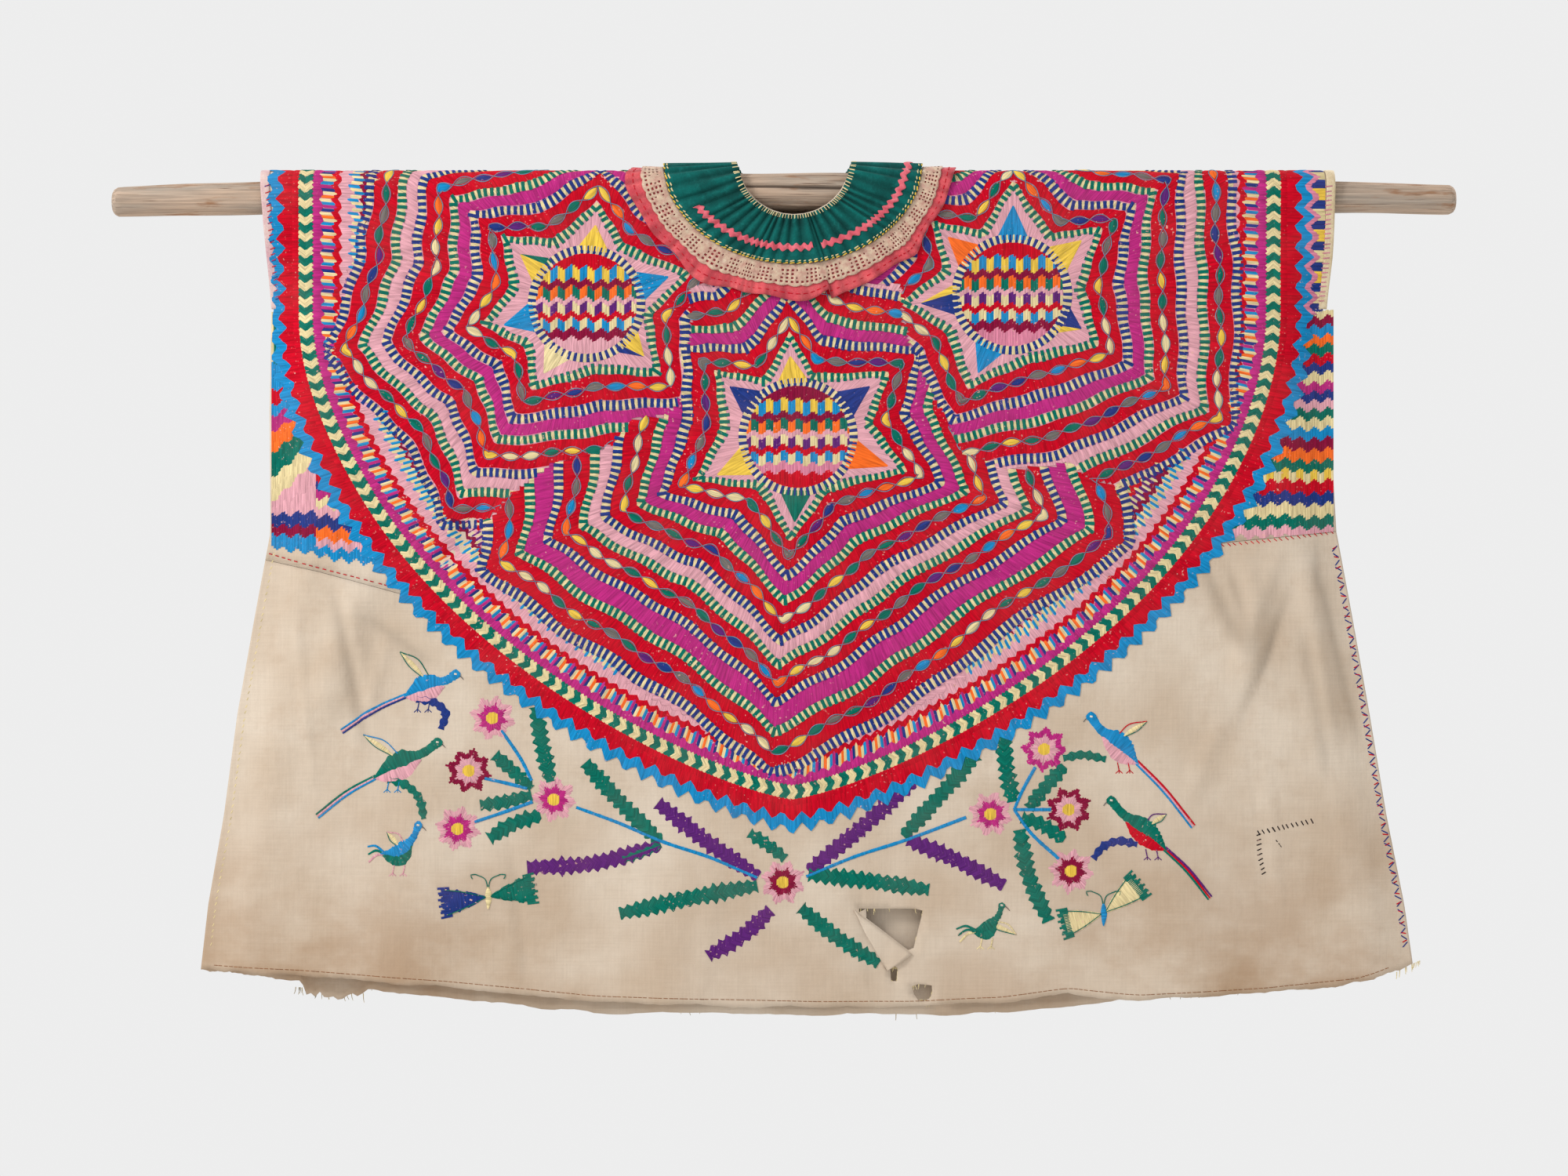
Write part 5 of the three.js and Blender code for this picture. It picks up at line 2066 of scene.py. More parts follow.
@dataclass
class HemMotifs:
    """Flowers, leaves, birds and butterflies stitched on the plain skirts."""

    side: Side
    lift: float = HEIGHTS.cotton + 0.15
    reach: float = 20.5
    tooth: float = 7.8
    inner_reach: float = 0.68
    middle_radius: float = 5.0
    middle_roundness: float = 33.0
    belly_depth: float = 1.22
    wing_widths: tuple[float, ...] = (3.0, 13.0, 21.0, 25.0)
    wing_half: float = 12.5
    feeler: Place = (11, -20)

    def __post_init__(self) -> None:
        """Starts its layer of thread."""
        self.work = Needlework(self.side, 91)

    def flower(self, flower: Flower) -> None:
        """Stitches an eight-pointed flower: two rings of spikes and a yellow middle.

        Args:
            flower: Its place, size and threads.
        """
        x, v = flat((flower.x, flower.z))
        random = self.work.random
        turn = random.uniform(0, 0.4)
        for reach, start, thread, count, depth, lift in (
            (self.reach, 0.52, flower.outer, 72, 0.30, 0.0),
            (self.reach * self.inner_reach, 0.34, flower.inner, 48, 0.34, 0.2),
        ):
            angle = np.linspace(0, 2 * np.pi, count, endpoint=False) + turn
            point = 0.5 - 0.5 * zigzag(angle - turn, np.pi / 4)
            end = reach * (1 - depth + depth * point) * random.uniform(0.94, 1.06, count)
            begin = reach * start * random.uniform(0.85, 1.1, count)
            self.work.stitches((x + begin * np.cos(angle), v + begin * np.sin(angle)),
                               (x + end * np.cos(angle), v + end * np.sin(angle)), 1.9, self.lift + lift,
                               thread)
        places = np.arange(-self.middle_radius, self.middle_radius + 0.1, 1.5)
        half = np.sqrt(self.middle_roundness - places ** 2)
        self.work.stitches((x + places, v - half), (x + places, v + half), 1.8, self.lift + 0.45, YELLOW)

    def sprig(self, sprig: Sprig) -> None:
        """Stitches a stem, or a leaf in two toothed halves that meet at its vein.

        Args:
            sprig: Its line, width and thread.
        """
        points = tuple(tuple(flat(p)) for p in sprig.points)
        if sprig.width <= STEM_WIDTH:
            self.work.stroke(points, (sprig.width * 0.9, sprig.width, sprig.width), self.lift + 0.1,
                             sprig.thread)
            return
        widths = tuple(sprig.width * share for share in (0.9, 1.22, 1.1, 1.22, 0.85))
        self.work.stroke(points, widths, self.lift, sprig.thread, 0.5, self.tooth, 0.55, 0.3)

    def line(self, start: Array, end: Array, bend: Array, thread: Thread, widths: tuple[float, ...],
             lift: float = 0.0) -> None:
        """Stitches a line that bends once between two places."""
        middle = (start + end) / 2 + bend
        self.work.stroke((tuple(start), tuple(middle), tuple(end)), widths, self.lift + lift, thread)

    def bird(self, bird: Bird) -> None:
        """Stitches a bird: toothed belly under the back, tail of three lines, wing, beak, eye and legs.

        Args:
            bird: Its place, direction and threads.
        """
        head, body, tail, wing = (flat(p) for p in (bird.head, bird.body, bird.tail, bird.wing))
        way = float(np.sign(head[0] - body[0]))
        back = (tail - body) / np.hypot(*(tail - body))
        rump = body + back * bird.depth
        down = np.array([0.0, 1.0])
        neck = head * 0.58 + body * 0.42 + np.array([2.0 * way, 1.5])
        deep = bird.depth * self.belly_depth
        belly = (neck + down * deep * 0.2, body + down * deep * 0.34, rump)
        self.work.stroke(tuple(tuple(p) for p in belly), (1, 0.5 * deep, 0.62 * deep, 0.4 * deep, 1),
                         self.lift, bird.belly)
        spine = (head, neck, body - down * deep * 0.08, rump)
        widths = (0.34 * deep, 0.3 * deep, 0.36 * deep, 0.66 * deep, 0.62 * deep, 0.3 * deep, 1.2)
        self.work.stroke(tuple(tuple(p) for p in spine), widths, self.lift + 0.2, bird.back, 0.16, 3.4)
        brow = np.array([0.17 * deep * way, 0.4])
        self.work.stroke((tuple(head - brow), tuple(head + brow)), (3.0, 0.36 * deep, 0.36 * deep, 3.0),
                         self.lift + 0.35, bird.back)
        across = np.array([-back[1], back[0]])
        for number, thread in ((-1, bird.edge), (0, bird.belly), (1, bird.back)):
            start = rump - back * 3 + across * number * 1.3
            self.line(start, tail + across * number * bird.fan, -down * 3.0, thread, (2.4, 2.4, 1.6))
        root = body - down * deep * 0.36 + np.array([4.0 * way, 0])
        rise = np.array([3.0 * way, -3.5])
        self.line(root, wing, rise, bird.edge if bird.edge is not NAVY else GREEN, (1.1, 1.1))
        self.line(root + (-5 * way, 1), wing, rise * 0.1, CREAM, (1.4, 4.6, 3.6, 1.0), -0.05)
        self.line(root + (-7 * way, 1), wing, -rise * 0.45, GREEN, (0.9, 0.9))
        self.line(head + (2 * way, 0), head + (7 * way, 4.5), rise * 0.1, GREY, (1.4, 0.7))
        self.work.stitches((head[0] - 1.2, head[1] - 0.6), (head[0] + 1.2, head[1] - 0.2), 1.6,
                           self.lift + 1.0, WHITE)
        foot = body + down * deep * 0.55
        for step in (-4.5, 5.0):
            ankle = foot + (step - 1.5 * way, 7.5)
            self.line(foot + (step, 0), ankle, rise * 0, bird.edge, (1.0, 1.0))
            for toe in (-3.2, 0.0, 3.2):
                self.work.stitches((ankle[0], ankle[1] - 0.5), (ankle[0] + toe, ankle[1] + 2.4), 0.8,
                                   self.lift, bird.edge, 0.3)

    def butterfly(self, moth: Butterfly) -> None:
        """Stitches a butterfly: two fan-shaped wings with jagged tips, its body and two curled feelers.

        Args:
            moth: Its place, direction and threads.
        """
        middle = flat(moth.middle)
        for end, thread, tip in zip(moth.wings, moth.threads, moth.tips):
            outer = flat(end)
            out = (outer - middle) / np.hypot(*(outer - middle))
            across = np.array([-out[1], out[0]])
            self.line(middle + out * 3, outer, out * 0, thread, self.wing_widths)
            places = np.linspace(-self.wing_half, self.wing_half, 19)
            spread = (1 + zigzag(places, 5.2)) * 2.8 + 1.0
            start = outer[:, None] - out[:, None] * 5.0 + across[:, None] * places
            finish = outer[:, None] + out[:, None] * spread + across[:, None] * places * 1.06
            self.work.stitches(tuple(start), tuple(finish), 2.0, self.lift + 0.3, tip)
            bow = across * 11.5
            for sign in (-1, 1):
                self.line(middle + out * 2, outer + bow * sign, bow * 0.08 * sign, GREEN, (0.9, 0.9), 0.3)
            way = np.sign(out[0])
            tip_place = middle + (self.feeler[0] * way, self.feeler[1])
            self.line(middle - (0, 5), tip_place, np.array([-3.0 * way, -3.0]), GREEN, (1.0, 1.0))
            self.line(tip_place, tip_place + (3 * way, 4), np.array([3.0 * way, -1.5]), GREEN, (1.0, 1.0))
        self.line(middle - (0, 9), middle + (0, 11), np.array([0.5, 0]), moth.body, (1.5, 6.0, 5.0, 1.0),
                  0.35)

    def build(self, finish: Material) -> Piece:
        """Stitches every motif of one skirt.

        Args:
            finish: Material of the piece.

        Returns:
            The new object.
        """
        for sprig in SPRIGS:
            self.sprig(sprig)
        for flower in FLOWERS:
            self.flower(flower)
        for bird in BIRDS:
            self.bird(bird)
        for moth in BUTTERFLIES:
            self.butterfly(moth)
        return self.work.piece(f"hem_motifs_{self.side.title}", finish)


@dataclass(frozen=True)
class HandStitch:
    """Hand stitches along a line: how far apart, and how far each goes along and across the line."""

    thread: Thread
    points: tuple[Place, ...]
    pitch: float
    along: float
    across: float = 0.0
    width: float = 0.9
    lift: float = HEIGHTS.cotton
    switching: bool = False


@dataclass(frozen=True)
class TornEdge:
    """A torn edge between two places, the number of its loose threads and the length of the longest."""

    start: Place
    end: Place
    count: int
    length: float


FRONT_TEARS = table(TornEdge, ((548, -702), (571, -691), 12, 6.0))
BACK_TEARS = table(
    TornEdge,
    ((-440, -716), (-376, -722), 22, 8.0), ((-400, -712), (-60, -738), 26, 5.0),
    ((90, -740), (420, -716), 34, 6.0),
)


@dataclass
class HandSewing:
    """Seam, hem and binding stitches, the black darn, and the frayed threads of one side."""

    side: Side
    seam_inset: float = 7.0
    zigzag_inset: float = 4.6
    hem_rise: float = 5.0
    binding_top: float = 2.35
    arm_insets: Place = (6.4, 6.0)

    def __post_init__(self) -> None:
        """Starts its layer of thread."""
        self.work = Needlework(self.side, 131)

    def sew(self, line: HandStitch) -> None:
        """Sews one line.

        Args:
            line: The line, with its stitches' size and thread.
        """
        x, v = smooth_line(np.array([flat(p) for p in line.points]), 1.0)
        length = arc_length(x, v)
        starts = np.arange(0.5, length[-1] - line.along, line.pitch)
        starts = starts + self.work.random.uniform(-0.12, 0.12, len(starts)) * line.pitch
        slope = np.stack([np.gradient(x, length), np.gradient(v, length)])
        square = [np.interp(starts, length, -slope[1]), np.interp(starts, length, slope[0])]
        half = line.across / 2 * self.work.random.uniform(0.85, 1.15, len(starts))
        half = half * np.where(np.arange(len(starts)) % 2 == 0, 1, -1) if line.switching else half
        ends = []
        for place, sign in ((starts, -1), (starts + line.along, 1)):
            ends.append((np.interp(place, length, x) + sign * square[0] * half,
                         np.interp(place, length, v) + sign * square[1] * half))
        self.work.stitches(ends[0], ends[1], line.width, line.lift + 0.1, line.thread)

    def seams(self) -> tuple[HandStitch, ...]:
        """Every line of stitches that is sewn on this side.

        Returns:
            The lines.
        """
        heights = np.arange(-318.0, -690.0, -20.0)
        across = np.arange(-512.0, 556.0, 16.0)
        left = tuple((float(DRAPE.edge("left", z)) + self.seam_inset, z) for z in heights)
        right = tuple((float(DRAPE.edge("right", z)) - self.zigzag_inset, z) for z in heights)
        hem = tuple((x, float(DRAPE.level(HEM, self.side, x)) + self.hem_rise) for x in across)
        armhole = np.arange(4.0, DRAPE.armhole_bottom, -8.0)
        left_arm = tuple((float(DRAPE.edge("left", z)) + self.arm_insets[0], z) for z in armhole)
        right_arm = tuple((float(DRAPE.edge("right", z)) - self.arm_insets[1], z) for z in armhole)
        join = tuple((row.x, getattr(row, self.side.title)) for row in SKIRT_SEAM)
        left_join = ((-463, join[0][1] + 2.5), (join[1][0], join[1][1] + 2.5), (-322, join[2][1] + 4))
        right_join = ((386, join[3][1] - 2), (440, join[3][1] + 3.5), (496, join[4][1] - 1))
        return (
            HandStitch(CRIMSON, left_join, 6.4, 3.4, lift=HEIGHTS.cotton + 0.4),
            HandStitch(CRIMSON, right_join, 5.2, 2.8, 3.0),
            HandStitch(CRIMSON, right, 9.0, 1.6, 5.0, 1.2, switching=True),
            HandStitch(NAVY, right, 6.0, 4.6, 5.6, 1.2, switching=True),
            HandStitch(CREAM, left, 6.0, 3.0, 1.2),
            HandStitch(BROWN, hem, 4.6, 3.9, 0.0, 0.6),
            HandStitch(ROSE, right_arm, 4.2, 0.8, 6.0, lift=self.binding_top),
            HandStitch(CRIMSON, left_arm, 5.4, 1.2, 4.2, lift=self.binding_top),
            HandStitch(NAVY, left_arm, 16.2, 1.2, 4.6, lift=self.binding_top),
        )

    def darn(self) -> tuple[HandStitch, ...]:
        """Black mending stitches on the right of the front.

        Returns:
            The lines.
        """
        return (
            HandStitch(BLACK, ((424, -575), (450, -569), (474, -564)), 4.4, 1.6, 4.4, 1.2),
            HandStitch(BLACK, ((425, -575), (426, -594), (430, -613)), 4.4, 1.6, 4.4, 1.2),
            HandStitch(BLACK, ((440, -581), (447, -590)), 3.0, 2.2),
        )

    def fray(self, torn: TornEdge) -> None:
        """Leaves loose threads that hang from a torn edge.

        Args:
            torn: The edge and its threads.
        """
        random = self.work.random
        share = random.uniform(0, 1, torn.count)
        first, last = flat(torn.start), flat(torn.end)
        for part in share:
            x, v = mix(first, last, part)
            drop = torn.length * random.uniform(0.4, 1.0)
            lean = random.uniform(-0.35, 0.35)
            places = ((x, v - 1), (x + lean * drop * 0.3, v + drop * 0.55), (x + lean * drop, v + drop))
            self.work.stroke(places, (0.8, 0.6, 0.35), 0.6, CREAM)

    def build(self, finish: Material) -> Piece:
        """Sews one side.

        Args:
            finish: Material of the piece.

        Returns:
            The new object.
        """
        lines, tears = self.seams(), BACK_TEARS
        if self.side is Side.FRONT:
            lines += self.darn()
            rips = (pair for rip in RIPS for pair in zip(rip.corners, rip.corners[1:]))
            tears = tuple(TornEdge(start, end, 7, 6.0) for start, end in rips) + FRONT_TEARS
        for line in lines:
            self.sew(line)
        for torn in tears:
            self.fray(torn)
        return self.work.piece(f"hand_sewing_{self.side.title}", finish)


# Cloth


@dataclass(frozen=True)
class Rip:
    """A rip in the front skirt, by its corners seen from the front."""

    corners: tuple[Place, ...]


RIPS = (
    Rip(((63, -643), (125, -643), (115, -683))),
    Rip(((95, -693), (102, -695), (101, -710), (96, -708))),
    Rip(((114, -710), (135, -712), (130, -726), (118, -725))),
)

TORN_CORNER = ((62, -644), (115, -684), (92, -699))


@dataclass(frozen=True)
class Scrap:
    """Torn scrap that hangs from the back hem, between two places across."""

    start: float
    end: float
    drop: float


SCRAP = Scrap(-436, -374, 14)


@dataclass
class Blouse:
    """The cloth of the blouse: a shoulder length folded over the pole, and two skirts sewn under it."""

    finishes: Finishes
    cotton: float = 1.2
    seam_gap: float = 0.3
    binding: float = 8.0
    skirt_columns: int = 230
    skirt_rows: int = 70
    shoulder_columns: int = 130
    side_closeness: float = 0.6
    arc_rows: int = 17
    panel_rows: int = 31
    seam_near: float = -323.0
    hem_near: float = -710.0
    hem_wear: float = 1.6
    binding_heights: Place = (-0.2, 1.9)
    binding_roundness: float = 0.35

    def shares(self, count: int) -> Array:
        """Shares of the width from 0 to 1, closer together at the sides, where the cloth bends most."""
        even = np.linspace(0, 1, count)
        return mix(even, 0.5 - 0.5 * np.cos(np.pi * even), self.side_closeness)

    def across(self, share: Array, z: Array) -> Array:
        """x of a share of the width, drawn in by the armhole bindings."""
        inset = np.where(z > DRAPE.armhole_bottom, self.binding + self.seam_gap, 0)
        return mix(DRAPE.edge("left", z) + inset, DRAPE.edge("right", z) - inset, share)

    def seam(self, share: Array, side: Side) -> Array:
        """Height of the skirt seam at a share of the width."""
        return DRAPE.level(SKIRT_SEAM, side, self.across(share, np.full(np.shape(share), self.seam_near)))

    def shoulder(self) -> Piece:
        """Makes the shoulder length in one piece, with its neck hole.

        Returns:
            The new object.
        """
        share = self.shares(self.shoulder_columns)
        front = DRAPE.down_to(self.seam(share, Side.FRONT))
        back = -DRAPE.down_to(self.seam(share, Side.BACK))
        arc = DRAPE.fold_arc
        rows = [mix(-arc, back, weight) for weight in np.linspace(1, 0, self.panel_rows)[:-1]]
        rows += [np.full(share.shape, place) for place in np.linspace(-arc, arc, self.arc_rows)]
        rows += [mix(arc, front, weight) for weight in np.linspace(0, 1, self.panel_rows)[1:]]
        v = np.stack(rows, axis=1)
        z = DRAPE.height_of(v)
        notch = np.abs(np.abs(v) - DRAPE.down_to(DRAPE.armhole_bottom)) < 0.01
        x = self.across(share[:, None] + 0 * v, z - notch)
        x, v, kept = self.cut_neck(x, v)
        piece = cloth_wall("shoulder_cloth", x, v, 0.0, self.cotton, self.finishes.cotton, kept=kept)
        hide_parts("front_shoulder", "back_shoulder")
        return piece

    def cut_neck(self, x: Array, v: Array) -> tuple[Array, Array, Array]:
        """Leaves out the cells inside the neck and moves the rim onto the ellipse.

        Args:
            x: Places across.
            v: Places down the cloth.

        Returns:
            Places across and down with the rim moved, and which cells are left.
        """
        drop = np.where(v > 0, NECK.front, NECK.back)
        radius = np.hypot((x - NECK.x) / NECK.half_width, v / drop)
        middle = (radius[:-1, :-1] + radius[1:, 1:] + radius[:-1, 1:] + radius[1:, :-1]) / 4
        kept = middle > 1
        scale = np.where(rim_points(kept), 1 / np.maximum(radius, 1e-6), 1.0)
        return NECK.x + (x - NECK.x) * scale, v * scale, kept

    def skirt(self, side: Side) -> Piece:
        """Makes one skirt, with its worn hem and, on the front, its rips.

        Args:
            side: Front or back.

        Returns:
            The new object.
        """
        share = self.shares(self.skirt_columns)[:, None]
        down = np.linspace(0, 1, self.skirt_rows)[None, :]
        top = self.seam(share, side) - self.seam_gap
        random = np.random.default_rng(5 + side.value)
        fray = np.convolve(random.normal(0, 1, self.skirt_columns + 4), np.ones(5) / 5, "valid")[:, None]
        hem = DRAPE.level(HEM, side, self.across(share, np.full(share.shape, self.hem_near)))
        hem = hem + self.hem_wear * fray
        if side is Side.BACK:
            hem = hem - self.torn_hem(self.across(share, hem), random)
        z = mix(top, hem, down)
        x = self.across(share, z)
        kept = None
        if side is Side.FRONT:
            x, z, kept = self.cut_rips(x, z)
        # crest gives the worn cotton its painted shade in the creases of the skirt
        piece = cloth_wall(f"{side.title}_skirt_cloth", x, side.value * DRAPE.down_to(z), 0.0, self.cotton,
                           self.finishes.cotton, kept=kept, crest=DRAPE.crest(x, z))
        if side is Side.BACK:
            piece.data.flip_normals()
        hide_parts(f"{side.title}_skirt")
        return piece

    def torn_hem(self, x: Array, random: np.random.Generator) -> Array:
        """How far the torn scrap of the back hem hangs down at places across."""
        scrap = smoothstep(x, SCRAP.start, SCRAP.start + 8) * smoothstep(-x, -SCRAP.end, 8 - SCRAP.end)
        return SCRAP.drop * scrap * random.uniform(0.3, 1.0, x.shape)

    def cut_rips(self, x: Array, z: Array) -> tuple[Array, Array, Array]:
        """Leaves out the cells inside each rip and moves the rims onto its edges.

        Args:
            x: Places across.
            z: Heights.

        Returns:
            Places across and heights with the rims moved, and which cells are left.
        """
        middle_x = (x[:-1, :-1] + x[1:, 1:]) / 2
        middle_z = (z[:-1, :-1] + z[1:, 1:]) / 2
        kept = np.ones(middle_x.shape, bool)
        for rip in RIPS:
            kept &= ~inside_polygon(middle_x, middle_z, rip.corners)
        for i, j in zip(*np.nonzero(rim_points(kept))):
            x[i, j], z[i, j] = self.nearest_edge(x[i, j], z[i, j])
        return x, z, kept

    def nearest_edge(self, x: float, z: float) -> Place:
        """Nearest place on the edge of any rip.

        Args:
            x: Place across.
            z: Height.

        Returns:
            Place across and height on the edge.
        """
        best = (1e9, x, z)
        for rip in RIPS:
            for (x0, z0), (x1, z1) in zip(rip.corners, rip.corners[1:] + rip.corners[:1]):
                share = ((x - x0) * (x1 - x0) + (z - z0) * (z1 - z0)) / ((x1 - x0) ** 2 + (z1 - z0) ** 2)
                share = min(max(share, 0), 1)
                near = (x0 + share * (x1 - x0), z0 + share * (z1 - z0))
                best = min(best, (math.hypot(near[0] - x, near[1] - z), *near))
        return best[1], best[2]

    def armhole_binding(self, edge: str) -> Piece:
        """Makes the binding round one armhole, from the front notch over the shoulder to the back.

        Args:
            edge: Left or right.

        Returns:
            The new object.
        """
        end = DRAPE.down_to(DRAPE.armhole_bottom) - 2
        v = np.linspace(-end, end, 90)[None, :]
        share = np.linspace(0, 1, 6)[:, None]
        inward = 1 if edge == "left" else -1
        shares = share if edge == "left" else 1 - share
        x = DRAPE.edge(edge, DRAPE.height_of(v)) + inward * shares * self.binding
        inside, outside = self.binding_heights
        round_edge = self.binding_roundness * np.sin(np.pi * shares) + 0 * v
        finish = self.finishes.pink_binding if edge == "left" else self.finishes.cream_binding
        piece = cloth_wall(f"{edge}_armhole_binding", x, v + 0 * x, 0 * x + inside, outside + round_edge,
                           finish)
        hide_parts(f"armhole_binding_{edge}")
        return piece

    def torn_corner(self) -> Piece:
        """Makes the torn corner that hangs folded down out of the large rip.

        Returns:
            The new object.
        """
        along = np.linspace(0, 1, 16)[:, None]
        down = np.linspace(0, 0.96, 9)[None, :]
        start, end, tip = (np.array(p, float) for p in TORN_CORNER)
        edge_x, edge_z = (mix(start[i], end[i], along) for i in (0, 1))
        x, z = mix(edge_x, tip[0], down), mix(edge_z, tip[1], down)
        base = 1.5 + 1.3 * np.sin(np.pi * np.clip(down, 0.05, 1)) + 0.5 * np.sin(6 * along + 3 * down)
        piece = cloth_wall("torn_corner", x, DRAPE.down_to(z), base, base + 1.0, self.finishes.cotton)
        return piece

    def build(self) -> dict[str, Piece]:
        """Makes all the cloth of the body, by name.

        Returns:
            The pieces by name.
        """
        return {
            "shoulder": self.shoulder(),
            "front": self.skirt(Side.FRONT),
            "back": self.skirt(Side.BACK),
            "torn": self.torn_corner(),
            "left": self.armhole_binding("left"),
            "right": self.armhole_binding("right"),
        }


@dataclass
class Collar:
    """The gathered green collar with its lace, coral ruffle and rickrack."""

    finishes: Finishes
    cloth_top: float = 2.1
    lay_gap: float = 0.9
    trim: float = 1.0
    gathers: int = 56
    waves: int = 28
    neck_gather: float = 3.2
    edge_gather: float = 3.4
    shoulder_gather: float = 3.0
    ruffle_height: float = 3.0
    tuck: float = 0.68
    braid_swing: float = 1.3
    braid_half: float = 2.7
    braid_turns: float = 0.8
    uneven_edge: float = 0.09
    overlap: float = 0.208
    overlap_reach: float = 0.03
    overlap_lift: float = 3.0
    overlap_shift: float = 0.15
    pleat_lift: float = 4.0
    # strength of the painted shadow beside the overlap of the sewn ends
    pleat_shade: float = 0.8
    lace_rows: int = 800
    lace_columns: int = 12
    neck_stitch_turn: float = 0.007
    hem_stitch_share: float = 0.82
    stitch_top: float = 0.9
    sheet: float = 0.8
    lace_sheet: float = 0.7
    lace_start: float = 0.01
    scallop: float = 0.045
    scallop_rows: int = 10
    first_share: float = 0.02
    tucked_shares: Place = (-0.25, -0.1)
    right_braid: Place = (-104, 46)
    left_braid: Place = (49, 93)

    def angle(self, turn: Array) -> Array:
        """Angle round the neck of a share of the way round, unevenly spaced."""
        angle = 2 * np.pi * turn
        return angle + 0.035 * np.sin(5 * angle) + 0.02 * np.sin(11 * angle + 1)

    def ring_place(self, inside: Ring, outside: Ring, angle: Array, share: Array) -> tuple[Array, Array]:
        """Flat place between two rings.

        Args:
            inside: The inner ring.
            outside: The outer ring.
            angle: Angles round the rings.
            share: Share of the way from the inner ring to the outer.

        Returns:
            Places across and places down the cloth.
        """
        drop = np.where(np.sin(angle) > 0, mix(inside.front, outside.front, share),
                        mix(inside.back, outside.back, share))
        half_width = mix(inside.half_width, outside.half_width, share)
        x = mix(inside.x, outside.x, share) + half_width * np.cos(angle)
        return x, drop * np.sin(angle)

    def wave(self, turn: Array, count: int) -> Array:
        """Crest height of the waves, from 0 in a valley to 1.

        Args:
            turn: Places round the neck, from 0 to 1.
            count: Number of waves round the neck.

        Returns:
            Share from 0 in a valley to 1 on a crest.
        """
        uneven = 0.74 + 0.26 * np.sin(14 * np.pi * turn + 2) * np.sin(38 * np.pi * turn)
        wander = 0.9 * np.sin(2 * np.pi * turn * 11) + 0.5 * np.sin(2 * np.pi * turn * 23 + 1)
        return uneven * (0.5 - 0.5 * np.cos(2 * np.pi * turn * count + wander))

    def beside_overlap(self, turn: Array, upper: bool, reach: float) -> Array:
        """Share that fades from 1 on one side of the place where the sewn ends overlap."""
        off = (turn - self.overlap) / reach
        return np.exp(-off * off) * ((off >= 0) == upper)

    def green_base(self, turn: Array, share: Array) -> Array:
        """Underside of the gathered green collar.

        Args:
            turn: Places round the neck, from 0 to 1.
            share: Share of the way from the inner edge to the outer.

        Returns:
            Heights off the cloth's inside.
        """
        lift = self.lay_gap + (self.trim + self.lay_gap) * share
        shoulder = self.shoulder_gather * np.abs(np.cos(self.angle(turn))) ** 3 * (1 - share)
        gather = mix(self.neck_gather, self.edge_gather, share) * self.wave(turn, self.gathers) ** 0.5
        wander = 0.5 * np.sin(2 * np.pi * turn * 31 + share * 3)
        pleat = self.pleat_lift * self.beside_overlap(turn, True, self.overlap_reach / 2) * (1 - 0.5 * share)
        return self.cloth_top + lift + shoulder + gather + pleat + np.clip(wander, 0, 1) * share

    def uneven(self, turn: Array, share: Array) -> Array:
        """Share across the ruffle or lace, stretched here and drawn in there by the hand gathers.

        Args:
            turn: Places round the neck, from 0 to 1.
            share: Share of the way from the inner edge to the outer.

        Returns:
            The share with its unevenness.
        """
        wander = np.sin(18 * np.pi * turn + 1) + 0.6 * np.sin(34 * np.pi * turn + 2)
        shift = self.beside_overlap(turn, False, self.overlap_reach)
        shift = shift - self.beside_overlap(turn, True, self.overlap_reach)
        return share * (1 + (self.uneven_edge * wander + self.overlap_shift * shift) * np.clip(share, 0, 1))

    def coral_base(self, turn: Array, share: Array) -> Array:
        """Underside of the coral ruffle.

        Args:
            turn: Places round the neck, from 0 to 1.
            share: Share of the way from the inner edge to the outer.

        Returns:
            Heights off the cloth's inside.
        """
        ripple = 0.9 * np.clip(share, 0, 1) * np.sin(2 * np.pi * turn * 67 + 5 * share) ** 2
        lap = self.overlap_lift * self.beside_overlap(turn, True, self.overlap_reach)
        height = self.ruffle_height * self.wave(turn, self.waves) + lap
        return self.cloth_top + self.lay_gap + height * np.clip(share, 0, 1) + ripple

    def green(self) -> Piece:
        """Makes the gathered green collar.

        Returns:
            The new object.
        """
        turn = np.linspace(0, 1, self.gathers * 14, endpoint=False)[:, None]
        share = np.linspace(self.first_share, 1, 14)[None, :]
        turn, share = np.broadcast_arrays(turn, share)
        x, v = self.ring_place(NECK, GREEN_EDGE, self.angle(turn), share)
        base = self.green_base(turn, share)
        # painted shade in the valleys of the gathers, and a painted shadow beside the overlap of the sewn
        # ends
        crest = mix(self.wave(turn, self.gathers), 1.0, 0.55 * share)
        crest = crest * (1 - self.pleat_shade * self.beside_overlap(turn, False, self.overlap_reach / 6))
        piece = cloth_wall("green_gathered_collar", x, v, base, base + self.sheet, self.finishes.green,
                           closed=True, crest=crest)
        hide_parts("collar_green")
        return piece

    def coral(self) -> Piece:
        """Makes the coral ruffle, tucked under the green collar.

        Returns:
            The new object.
        """
        turn = np.linspace(0, 1, self.waves * 20, endpoint=False)[:, None]
        share = np.concatenate([self.tucked_shares, np.linspace(0, 1, 12)])[None, :]
        turn, share = np.broadcast_arrays(turn, share)
        angle = self.angle(turn)
        outer = self.ring_place(GREEN_EDGE, CORAL_EDGE, angle, self.uneven(turn, share))
        under = self.ring_place(NECK, GREEN_EDGE, angle, 1 + (1 - self.tuck) * share)
        x, v = (np.where(share >= 0, a, b) for a, b in zip(outer, under))
        base = self.coral_base(turn, share)
